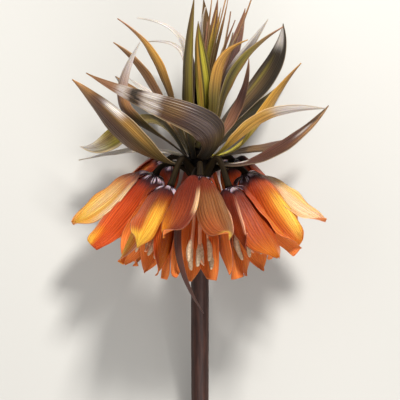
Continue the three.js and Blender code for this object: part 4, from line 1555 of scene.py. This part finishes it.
@dataclass(frozen=True)
class LeafFinish(Finish):
    """Leaf skin: the leaf's painted tones, which carry painted highlights and shade, under parallel veins,
    with a waxy sheen.
    """

    soft: float = 0.25
    vein: int = 0xC8A868
    groove: int = 0x7A6448
    margin: int = 0xD6BE9C
    main_veins: tuple[float, float, float] = (11.0, 1.1, 0.5)
    fine_veins: tuple[float, float, float] = (20.0, 1.3, 0.5)
    fibres: tuple[float, float] = (15.0, 1.6)
    streak_shade: float = 0.7
    groove_shade: float = 0.65
    vein_share: float = 0.06
    margin_share: float = 0.3
    margin_edge: tuple[float, float] = (0.94, 1.0)
    gloss_range: tuple[float, float] = (-0.08, 0.12)
    heights: tuple[float, float] = (-0.8, 0.4)
    depth: float = 0.16

    def make(self) -> bpy.types.Material:
        """Makes the material, which reads the leaf's tones from its tint.

        Returns:
            The material.
        """
        coat = {"Coat Weight": 0.03, "Coat Roughness": 0.3, "Specular IOR Level": 0.3}
        material, g, shader = self.start({**coat, "Subsurface Radius": (0.9, 0.65, 0.2)})
        sheet = self.sheet(g)
        veins = self.veins(g, sheet.seeded, self.main_veins)
        fine = self.veins(g, sheet.seeded, self.fine_veins)
        streaks = self.streaks(g, sheet.seeded, self.fibres)
        skin = g.darken(g.times(streaks, self.streak_shade), sheet.paint, colour(self.groove))
        skin = g.darken(g.times(fine["Lines"], self.groove_shade), skin, colour(self.groove))
        skin = g.mix(g.times(veins["Lines"], self.vein_share), skin, colour(self.vein))
        margin = g.times(g.fade(sheet.edge, *self.margin_edge), streaks, self.margin_share)
        g.feed(shader.inputs["Base Color"], g.mix(margin, skin, colour(self.margin)))
        gloss, matt = (self.roughness + change for change in self.gloss_range)
        g.feed(shader.inputs["Roughness"], g.blend(streaks, gloss, matt))
        vein_height, groove_height = self.heights
        height = g.plus(g.times(veins["Swell"], vein_height), g.times(fine["Swell"], groove_height))
        self.relief(g, shader, height, self.depth)
        return material


@dataclass(frozen=True)
class SkinFinish(Finish):
    """Skin of a stalk, filament, ovary or drop: two colours in long fibres and soft patches."""

    base: int = 0x4A2A2A
    second: int = 0x6A4438
    fibres: tuple[float, float] = (26.0, 3.0)
    fibre_share: float = 0.65
    patch_share: float = 0.4
    mottle_scale: float = 160.0
    gloss_range: tuple[float, float] = (-0.1, 0.12)
    heights: tuple[float, float] = (0.8, 0.4)
    depth: float = 0.12
    coat: float = 0.2
    specular: float = 0.4

    def make(self) -> bpy.types.Material:
        """Makes the material.

        Returns:
            The material.
        """
        coat = {"Coat Weight": self.coat, "Coat Roughness": 0.3}
        material, g, shader = self.start({**coat, "Specular IOR Level": self.specular})
        streaks = self.streaks(g, g.node("ShaderNodeUVMap", uv_map=SHEET_UV).outputs[0], self.fibres)
        place = g.node("ShaderNodeTexCoord").outputs["Object"]
        spots = g.pattern(self.patterns.mottle, {"Place": place, "Scale": self.mottle_scale})
        skin = g.mix(g.times(streaks, self.fibre_share), colour(self.base), colour(self.second))
        skin = g.mix(g.times(spots["Patches"], self.patch_share), skin, colour(self.base))
        g.feed(shader.inputs["Base Color"], skin)
        gloss, matt = (self.roughness + change for change in self.gloss_range)
        g.feed(shader.inputs["Roughness"], g.blend(spots["Grain"], gloss, matt))
        fibre_height, grain_height = self.heights
        height = g.plus(g.times(streaks, fibre_height), g.times(spots["Grain"], grain_height))
        self.relief(g, shader, height, self.depth)
        return material


@dataclass(frozen=True)
class PollenFinish(Finish):
    """Anthers: dry and grainy, in two colours."""

    pale: int = 0xE4CCA8
    shade: int = 0xB48E66
    patch_scale: float = 900.0
    patch_share: float = 0.7
    grain_scale: float = 2600.0
    depth: float = 0.25

    def make(self) -> bpy.types.Material:
        """Makes the material.

        Returns:
            The material.
        """
        material, g, shader = self.start({"Roughness": self.roughness})
        place = g.node("ShaderNodeTexCoord").outputs["Object"]
        spots = g.pattern(self.patterns.mottle, {"Place": place, "Scale": self.patch_scale})["Patches"]
        grain = g.pattern(self.patterns.mottle, {"Place": place, "Scale": self.grain_scale})["Patches"]
        skin = g.mix(g.times(spots, self.patch_share), colour(self.pale), colour(self.shade))
        g.feed(shader.inputs["Base Color"], skin)
        self.relief(g, shader, grain, self.depth)
        return material


# ---------------------------------------------------------------------------------------------------------
# Sub-assemblies
# ---------------------------------------------------------------------------------------------------------
class Finishes:
    """Every material of the flower, made once."""

    def __init__(self) -> None:
        """Makes the materials."""
        p = Patterns()
        self.petal_outside = PetalFinish("petal outside", p, 0.42).make()
        # The insides are painted mostly in the glow colour, painted light as if lit through the petals.
        self.petal_inside = PetalFinish(
            "petal inside", p, 0.5, flush_and_shade=0xD84E26, glow_share=0.9, top_highlight_share=0.0, vein_share=0.55,
            top_share=0.5, coat=0.1
        ).make()
        self.receptacle = SkinFinish("receptacle", p, 0.26, base=0x1C1018, second=0x3E2630).make()
        self.nectar = SkinFinish(
            "nectar", p, 0.16, soft=0.4, base=0xF2F0EA, second=0xD8DCE0, depth=0.0, coat=0.6
        ).make()
        # The flower stalks are nearly black: partly their own dark colour and partly painted shade under the
        # crown.
        self.flower_stalk = SkinFinish(
            "flower stalk", p, 0.7, base=0x140C06, second=0x32260F, fibres=(9.0, 3.0), depth=0.2, coat=0.0,
            specular=0.08
        ).make()
        self.stalk = SkinFinish(
            "stalk", p, 0.5, base=0x281611, second=0x4E2F25, fibres=(22.0, 14.0), coat=0.05, specular=0.22
        ).make()
        # The hub is near black: painted shade under the crown's leaves and bells.
        self.hub = SkinFinish(
            "hub", p, 0.7, base=0x0A0706, second=0x1A120C, fibres=(22.0, 14.0), coat=0.0, specular=0.08
        ).make()
        self.pith = SkinFinish(
            "cut pith", p, 0.6, base=0xC9CF9A, second=0xE6E2BE, mottle_scale=900.0, coat=0.0
        ).make()
        self.leaf = LeafFinish("leaf", p, 0.48).make()
        self.filament = SkinFinish(
            "filament", p, 0.45, soft=0.2, base=0xD8966A, second=0xF0C09A, fibres=(5.0, 3.0)
        ).make()
        self.ovary = SkinFinish("ovary", p, 0.4, base=0x8E8A3C, second=0xC2B060, fibres=(6.0, 3.0)).make()
        self.anther = PollenFinish("anther", p, 0.75).make()


@dataclass
class Stalk:
    """The stalk from its cut end to the hub under the crown."""

    form: StalkForm
    head: Head
    finishes: Finishes
    sides: int = 72
    rings: int = 110
    cut_inset: float = 0.35
    rib_count: int = 7
    rib_depth: float = 0.014
    rib_twist: float = 3.0
    wander: float = 0.01
    wander_pitch: tuple[float, float] = (2.0, 9.0)
    hub_start: float = 12.0

    def build(self) -> None:
        """Makes the stalk as one closed body with a cut face."""
        form, inset = self.form, self.cut_inset
        start, whole = STALK_AXIS * -form.length, form.length + form.hub[-1][1]
        shares = [inset / whole, *(k / self.rings for k in range(1, self.rings))]
        side = [(share, form.radius_at(whole * share - form.length)) for share in shares]
        stations = [(0.0, 0.0), (0.0, form.radius / 2), (0.0, form.radius - inset), *side, (1.0, 0.0)]

        def place(s: float) -> Vector:
            """The place at a share of the height."""
            return start + STALK_AXIS * (whole * s)

        piece = Piece("stalk")
        piece.tube(stations, self.sides, place, lambda s: STALK_AXIS, self._shape)
        for face in piece.bm.faces:
            middle = face.calc_center_median()
            if middle.y < inset - form.length and abs(face.normal.y) > 0.5:
                face.material_index = 1
            # Faces near the hub take the near-black hub finish, a painted shade.
            elif middle.y > -self.hub_start:
                face.material_index = 2
        made = piece.finish([self.finishes.stalk, self.finishes.pith, self.finishes.hub], self.head)
        seat(made, "stalk", ["stem"])

    def _shape(self, share: float, angle: float) -> float:
        """The factor of the radius that gives the stalk its faint ribs and its unevenness.

        Args:
            share: The share of the stalk's length.
            angle: The angle round it.

        Returns:
            The factor.
        """
        pitch, along = self.wander_pitch
        wander = noise.noise(Vector((pitch * math.cos(angle), along * share, pitch * math.sin(angle))))
        ribs = math.sin(self.rib_count * angle + self.rib_twist * share) - 1
        return 1 + self.rib_depth * ribs + self.wander * wander


@dataclass
class FlowerStalks:
    """The eight stalks that carry the bells."""

    form: FlowerStalkForm
    bells: Sequence[Bell]
    head: Head
    finishes: Finishes

    def build(self) -> None:
        """Makes the stalks."""
        for bell in self.bells:
            self._stalk(bell)

    def _stalk(self, bell: Bell) -> None:
        """Makes one stalk, which meets its bell's top square to it.

        Args:
            bell: The bell that it carries.
        """
        f, b = self.form, bell.form
        end = bell.base - bell.axis * f.seat_gap
        # With both handles at this height, the stalk's middle is as high as its arch.
        handle = (8 * b.arch - f.root - b.height) / 6
        drop = (handle - b.height) / -bell.axis.y
        bend = f.bend[0] + f.bend[1] * b.arch
        place, direction = bezier(
            bell.out * f.root_reach + STALK_AXIS * f.root,
            bell.out * (b.reach * bend) + STALK_AXIS * handle,
            end - bell.axis * drop,
            end,
        )
        stations = [(0.0, 0.0)]
        for k in range(f.rings + 1):
            share = k / f.rings
            root = f.root_swell * math.exp(-share / f.root_swell_share)
            stations.append((share, f.radius + root + f.swell * math.exp(-(1 - share) / f.swell_share)))
        stations.append((1.0, 0.0))

        def shape(share: float, angle: float) -> float:
            """The factor of the radius that makes the stalk uneven."""
            return 1 + sum(size * math.sin(lobes * angle + twist * share) for size, lobes, twist in f.waves)

        piece = Piece(f"flower_stalk_{bell.number}_skin")
        piece.tube(stations, f.sides, place, direction, shape)
        made = piece.finish([self.finishes.flower_stalk], self.head)
        seat(made, "flower_stalk", [f"flower_stalk_{bell.number}"])


@dataclass
class Bells:
    """The eight bells: their petals, receptacles and nectar drops."""

    petal: PetalForm
    bells: Sequence[Bell]
    head: Head
    finishes: Finishes
    seed_steps: tuple[float, float] = (0.37, 0.13)
    knob: tuple[tuple[float, float], ...] = (
        (0, 0), (0, 1.6), (0.05, 2.5), (0.2, 3.3), (0.45, 4.1), (0.7, 3.9), (1, 3.0), (1, 0),
    )
    knob_height: float = 3.0
    knob_sides: int = 36
    knob_lobe: float = 0.08
    drop_at: float = 0.105
    drop_radius: float = 1.15
    drop_flatness: float = 0.8
    drop_lift: float = 0.9

    def build(self) -> None:
        """Makes the bells."""
        for bell in self.bells:
            self._petals(bell)
            self._receptacle(bell)
            self._nectar(bell)

    def _petals(self, bell: Bell) -> None:
        """Makes the six petals of a bell as one piece.

        Args:
            bell: The bell.
        """
        p = self.petal
        piece = Piece(f"petals_{bell.number}")
        middle = bell.base + bell.axis * (bell.form.length / 2)
        bell_step, petal_step = self.seed_steps
        for k in range(PETALS):
            base, *washes = PETAL_PAINT.get((bell.number, k), PLAIN_PAINT[k % 2])
            seed = (bell_step * bell.number + petal_step * k) % 1.0
            paint = partial(self._tint, colour(base.value), washes, seed)
            verts = piece.sheet(p.rows, p.columns, bell.petal_surface(k), paint, p.row_stretch, 0.0)
            piece.bm.normal_update()
            piece.face_away(verts, middle)
        for vert in piece.bm.verts:
            vert[piece.dusk] = bell.form.dusk
        made = piece.finish([self.finishes.petal_outside, self.finishes.petal_inside], self.head)
        thicken(made, p.thickness, p.margin_share, backed=True)
        seat(made, "petal", [f"bell_{bell.number}"])

    @staticmethod
    def _tint(base: Colour, washes: Sequence[Wash], seed: float, s: float, t: float) -> Colour:
        """A petal's paint at a place on it, with the petal's seed."""
        return (*painted(base, washes, s, t)[:3], seed)

    def _receptacle(self, bell: Bell) -> None:
        """Makes the dark knob that the petals leave.

        Args:
            bell: The bell.
        """

        def place(s: float) -> Vector:
            """The place at a share of the knob's height."""
            return bell.base + bell.axis * (self.knob_height * s)

        def shape(share: float, angle: float) -> float:
            """The factor of the radius that gives the knob a lobe over each petal."""
            return 1 + self.knob_lobe * math.cos(PETALS * angle)

        piece = Piece(f"receptacle_{bell.number}")
        piece.tube(self.knob, self.knob_sides, place, lambda s: bell.axis, shape)
        seat(piece.finish([self.finishes.receptacle], self.head), "petal")

    def _nectar(self, bell: Bell) -> None:
        """Makes the drop of nectar at the root of each petal, inside the bell.

        Args:
            bell: The bell.
        """
        piece, r = Piece(f"nectar_{bell.number}"), self.drop_radius
        for k in range(PETALS):
            on_petal = bell.petal_surface(k)(self.drop_at, 0.0)
            from_base = on_petal - bell.base
            outwards = from_base - bell.axis * from_base.dot(bell.axis)
            inward = (bell.axis - outwards.normalized()).normalized()
            piece.ball(on_petal + inward * (r * self.drop_lift), Vector((r, r, r * self.drop_flatness)))
        seat(piece.finish([self.finishes.nectar], self.head), "petal")


@dataclass
class Stamens:
    """The ovary, style and stamens of each bell."""

    form: StamenForm
    bells: Sequence[Bell]
    head: Head
    finishes: Finishes

    def build(self) -> None:
        """Makes the eight groups."""
        for bell in self.bells:
            self._group(bell)

    def _place(self, bell: Bell, angle: float, distance: float, along: float) -> Vector:
        """A point inside a bell.

        Args:
            bell: The bell.
            angle: The angle round its axis, in degrees.
            distance: The distance from its axis.
            along: The distance along it.

        Returns:
            The point, clear of the surface below.
        """
        a = math.radians(angle + bell.form.turn)
        aside = bell.outward * (distance * math.cos(a)) + bell.round * (distance * math.sin(a))
        point = bell.base + bell.axis * along + aside
        return self.head.lay(point, self.form.clearance, bell.petal.press_softness)

    def _group(self, bell: Bell) -> None:
        """Makes one group as one piece with three materials.

        Args:
            bell: The bell that holds it.
        """
        f = self.form
        piece = Piece(f"stamen_group_{bell.number}")
        at = partial(self._place, bell)

        def middle(s: float) -> Vector:
            """The ovary's axis at a share of its length."""
            return at(0, 0, lerp(f.top, f.ovary_end, s))

        def shape(share: float, angle: float) -> float:
            """The factor of the radius that gives the ovary its lobes."""
            return 1 + f.ovary_lobe * math.cos(f.stigmas * angle)

        piece.tube(f.ovary, f.ovary_sides, middle, lambda s: bell.axis, shape, 2)
        style_end = f.style_length + bell.form.longer
        thirds = (0, 1 / 3, 2 / 3, 1)
        style = [at(0, f.style_lean * share, lerp(f.style_start, style_end, share)) for share in thirds]
        self._rod(piece, style, f.style_radii)
        for k in range(f.stigmas):
            foot = at(0, f.style_lean, style_end - f.stigma_root)
            tip = at(360 / f.stigmas * k, f.stigma_spread, style_end + f.stigma_length)
            self._rod(piece, [foot, foot.lerp(tip, 0.3), foot.lerp(tip, 0.7), tip], f.stigma_radii)
        bell_step, petal_step = f.seed_steps
        for k in range(PETALS):
            end = f.filament_end + bell.form.longer + (k % 2) * f.stagger
            seed = bell_step * bell.number + petal_step * k
            self._stamen(piece, at, PETAL_TURN * k + f.first_turn, end, seed)
        materials = [self.finishes.filament, self.finishes.anther, self.finishes.ovary]
        seat(piece.finish(materials, self.head), "stamen", [f"stamens_{bell.number}"])

    def _rod(self, piece: Piece, points: Sequence[Vector], radii: tuple[float, float]) -> None:
        """Lays a slim round rod through four points.

        Args:
            piece: The mesh that it goes into.
            points: The points.
            radii: Its radii at both ends.
        """
        rings = self.form.rod_rings
        stations = [(k / rings, lerp(*radii, k / rings)) for k in range(rings + 1)]
        piece.tube([(0.0, 0.0), *stations, (1.0, 0.0)], self.form.rod_sides, *cubic_through(points))

    def _stamen(self, piece: Piece, at: Callable[..., Vector], angle: float, end: float, seed: float) -> None:
        """Makes one filament with its anther.

        Args:
            piece: The mesh that it goes into.
            at: Gives points inside the bell.
            angle: Where it stands round the bell's axis.
            end: Where the filament ends along it.
            seed: What makes the anther's lumps its own.
        """
        f = self.form
        root, middle, upper, tip = f.spread
        low_bend, high_bend = f.filament_bends
        filament = [
            at(angle, root, f.top + 1), at(angle, lerp(root, middle, low_bend), end / 3),
            at(angle, lerp(middle, upper, high_bend), end * 2 / 3), at(angle, upper, end),
        ]
        self._rod(piece, filament, f.filament_radii)
        low, high = at(angle, upper, end - f.anther_overlap), at(angle + f.twist, tip, end + f.anther_length)
        bow = at(angle, tip + f.anther_bow, end + f.anther_length / 2)
        rings = f.anther_rings
        stations = [
            (k / rings, f.anther_radius * math.sin(math.pi * k / rings) ** f.anther_bluntness)
            for k in range(rings + 1)
        ]

        def shape(share: float, angle: float) -> float:
            """The factor of the radius that gives the anther its two grooves and its lumps.

            Args:
                share: The share of the anther's length.
                angle: The angle round it.

            Returns:
                The factor.
            """
            lobes = 1 - f.groove * math.exp(-((math.cos(angle) / f.groove_width) ** 2))
            place = Vector((math.cos(angle), f.lump_pitch * share + seed, math.sin(angle)))
            return lobes * (1 + f.lump * noise.noise(place))

        curve = cubic_through([low, low.lerp(bow, 0.66), bow.lerp(high, 0.34), high])
        piece.tube(stations, f.anther_sides, *curve, shape, 1)


@dataclass
class Crown:
    """The twenty-nine leaves over the bells, the young ones in their midst and the one that droops."""

    blade: BladeForm
    stalk: StalkForm
    head: Head
    finishes: Finishes
    young: YoungForm = field(default_factory=YoungForm)
    droop: DroopForm = field(default_factory=DroopForm)
    # Painted shade: a leaf is darker towards its root, down to root_light over the first root_shade of its
    # length; and one half of it is painted lighter than the other by the way it faces the light.
    root_light: float = 0.3
    root_shade: float = 0.24
    painted_side_light: float = 0.22
    fray: float = 0.016
    fray_pitch: tuple[float, float] = (9.0, 2.0)

    def build(self) -> None:
        """Makes the leaves."""
        for number, leaf in enumerate(LEAVES, start=1):
            surface = leaf_surface(leaf, self.blade, self.stalk, self.head)
            made = self._leaf(f"leaf_{number:02d}", leaf, surface, self.blade)
            seat(made, "leaf", [f"crown_leaf_{number:02d}"])
        for k in range(self.young.count):
            leaf = self.young.leaf(k)
            surface = leaf_surface(leaf, self.blade, self.stalk, self.head)
            seat(self._leaf(f"young_leaf_{k + 1:02d}", leaf, surface, self.young), "leaf")
        surface = drooping_surface(DROOPING_LEAF, self.droop, self.stalk)
        seat(self._leaf("drooping_leaf", DROOPING_LEAF, surface, self.blade), "leaf")

    def _leaf(
        self, name: str, leaf: LeafForm, surface: Surface, cells: BladeForm | YoungForm
    ) -> bpy.types.Object:
        """Makes one leaf.

        Args:
            name: The piece's name.
            leaf: Its form.
            surface: Its mid-surface.
            cells: What gives its rows and columns of cells.

        Returns:
            The leaf's object.
        """
        piece = Piece(name)
        piece.sheet(cells.rows, cells.columns, surface, partial(self._tint, leaf), 1.0, 0.0)
        made = piece.finish([self.finishes.leaf], self.head)
        thicken(made, self.blade.thickness, self.blade.margin_share, backed=False)
        return made

    def _tint(self, leaf: LeafForm, s: float, t: float) -> Colour:
        """The leaf's paint, from tone to tone, with painted shade darker at its root and one half painted
        lighter than the other, and with its seed.

        Args:
            leaf: The leaf's form.
            s: The share of its length.
            t: The place across it, from -1 to 1.

        Returns:
            The colour there.
        """
        tones = [colour(tone.value) for tone in leaf.tones]
        steps = len(tones) - 1
        k = min(steps - 1, int(s * steps))
        share = smooth(s * steps - k)
        under = tuple(lerp(a, b, share) for a, b in zip(tones[k], tones[k + 1]))
        # Painted shade towards the root, unless the root is kept light, and one half painted lighter than the
        # other.
        dark = 1.0 if leaf.light_root else self.root_light
        light = lerp(dark, 1.0, smooth(s / self.root_shade)) * (1 + self.painted_side_light * math.sin(leaf.at) * t)
        across, along = self.fray_pitch
        frayed = s + self.fray * noise.noise(Vector((across * t, leaf.at, along * s)))
        return (*(light * part for part in painted(under, leaf.washes, frayed, t)[:3]), leaf.at / 360)


@dataclass(frozen=True)
class Lamp:
    """A square soft light that faces the hub: where it is from there, its side in metres, and its watts."""

    name: str
    away: tuple[float, float, float]
    size: float
    power: float


@dataclass
class Studio:
    """The pale floor, soft lights and the camera that looks down on the head."""

    head: Head
    lens: float = 100.0
    sensor: float = 36.0
    far_end: float = 50.0
    frame_width: float = 0.231
    aim_below_hub: float = 0.0202
    floor_size: float = 6.0
    floor_colour: int = 0xBCB9B2
    floor_roughness: float = 0.9
    sky_colour: int = 0xE6E9EF
    sky_strength: float = 0.28
    lamps: tuple[Lamp, ...] = (
        Lamp("key", (0.22, 0.62, 0.75), 0.18, 16.0),
        Lamp("fill", (-0.7, 0.1, 0.6), 0.7, 2.5),
        Lamp("front", (0.2, -0.8, 0.5), 0.7, 7.0),
    )

    def build(self) -> None:
        """Sets up the camera, then the floor and lights."""
        self._camera()
        self._floor()
        self._sky()
        for lamp in self.lamps:
            self._hang(lamp)
        bpy.context.scene.view_settings.view_transform = "Standard"

    @staticmethod
    def _place(name: str, data: bpy.types.ID) -> bpy.types.Object:
        """Links a new object to the scene.

        Args:
            name: Its name.
            data: What it shows.

        Returns:
            The object.
        """
        made = bpy.data.objects.new(name, data)
        bpy.context.scene.collection.objects.link(made)
        return made

    def _camera(self) -> None:
        """Looks straight down, with the crown to the top of the picture."""
        data = bpy.data.cameras.new("camera")
        data.lens, data.sensor_width, data.clip_end = self.lens, self.sensor, self.far_end
        camera = self._place("camera", data)
        distance = self.frame_width * self.lens / self.sensor
        camera.location = self.head.hub + Vector((0.0, -self.aim_below_hub, distance))
        bpy.context.scene.camera = camera

    def _floor(self) -> None:
        """Lays a plain pale floor at the flower's lowest point."""
        bm = bmesh.new()
        bmesh.ops.create_grid(bm, x_segments=1, y_segments=1, size=self.floor_size / 2)
        mesh = bpy.data.meshes.new("floor")
        bm.to_mesh(mesh)
        bm.free()
        material = bpy.data.materials.new("floor")
        material.use_nodes = True
        shader = material.node_tree.nodes["Principled BSDF"]
        shader.inputs["Base Color"].default_value = colour(self.floor_colour)
        shader.inputs["Roughness"].default_value = self.floor_roughness
        mesh.materials.append(material)
        floor = self._place("floor", mesh)

    def _sky(self) -> None:
        """Lights everything a little from all sides."""
        world = bpy.data.worlds.new("studio")
        world.use_nodes = True
        background = world.node_tree.nodes["Background"]
        background.inputs["Color"].default_value = colour(self.sky_colour)
        background.inputs["Strength"].default_value = self.sky_strength
        bpy.context.scene.world = world

    def _hang(self, lamp: Lamp) -> None:
        """Hangs a light.

        Args:
            lamp: What it is.
        """
        data = bpy.data.lights.new(lamp.name, "AREA")
        data.size, data.energy = lamp.size, lamp.power
        away, made = Vector(lamp.away), self._place(lamp.name, data)
        made.location = self.head.hub + away
        made.rotation_euler = (-away).to_track_quat("-Z", "Y").to_euler()


def write_sizes() -> None:
    """Brings the view layer up to date.
    """
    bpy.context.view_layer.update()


def main() -> None:
    """Builds the flower's looks round the frame."""
    logging.basicConfig(level=logging.INFO, format="%(message)s")
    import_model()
    stalk = StalkForm()
    head = Head(stalk, *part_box("stem"))
    Studio(head).build()
    petal = PetalForm()
    bells = [Bell(index, petal, head) for index in range(len(BELLS))]
    finishes = Finishes()
    Stalk(stalk, head, finishes).build()
    FlowerStalks(FlowerStalkForm(), bells, head, finishes).build()
    Bells(petal, bells, head, finishes).build()
    Stamens(StamenForm(), bells, head, finishes).build()
    Crown(BladeForm(), stalk, head, finishes).build()
    write_sizes()


if __name__ == "__main__":
    main()
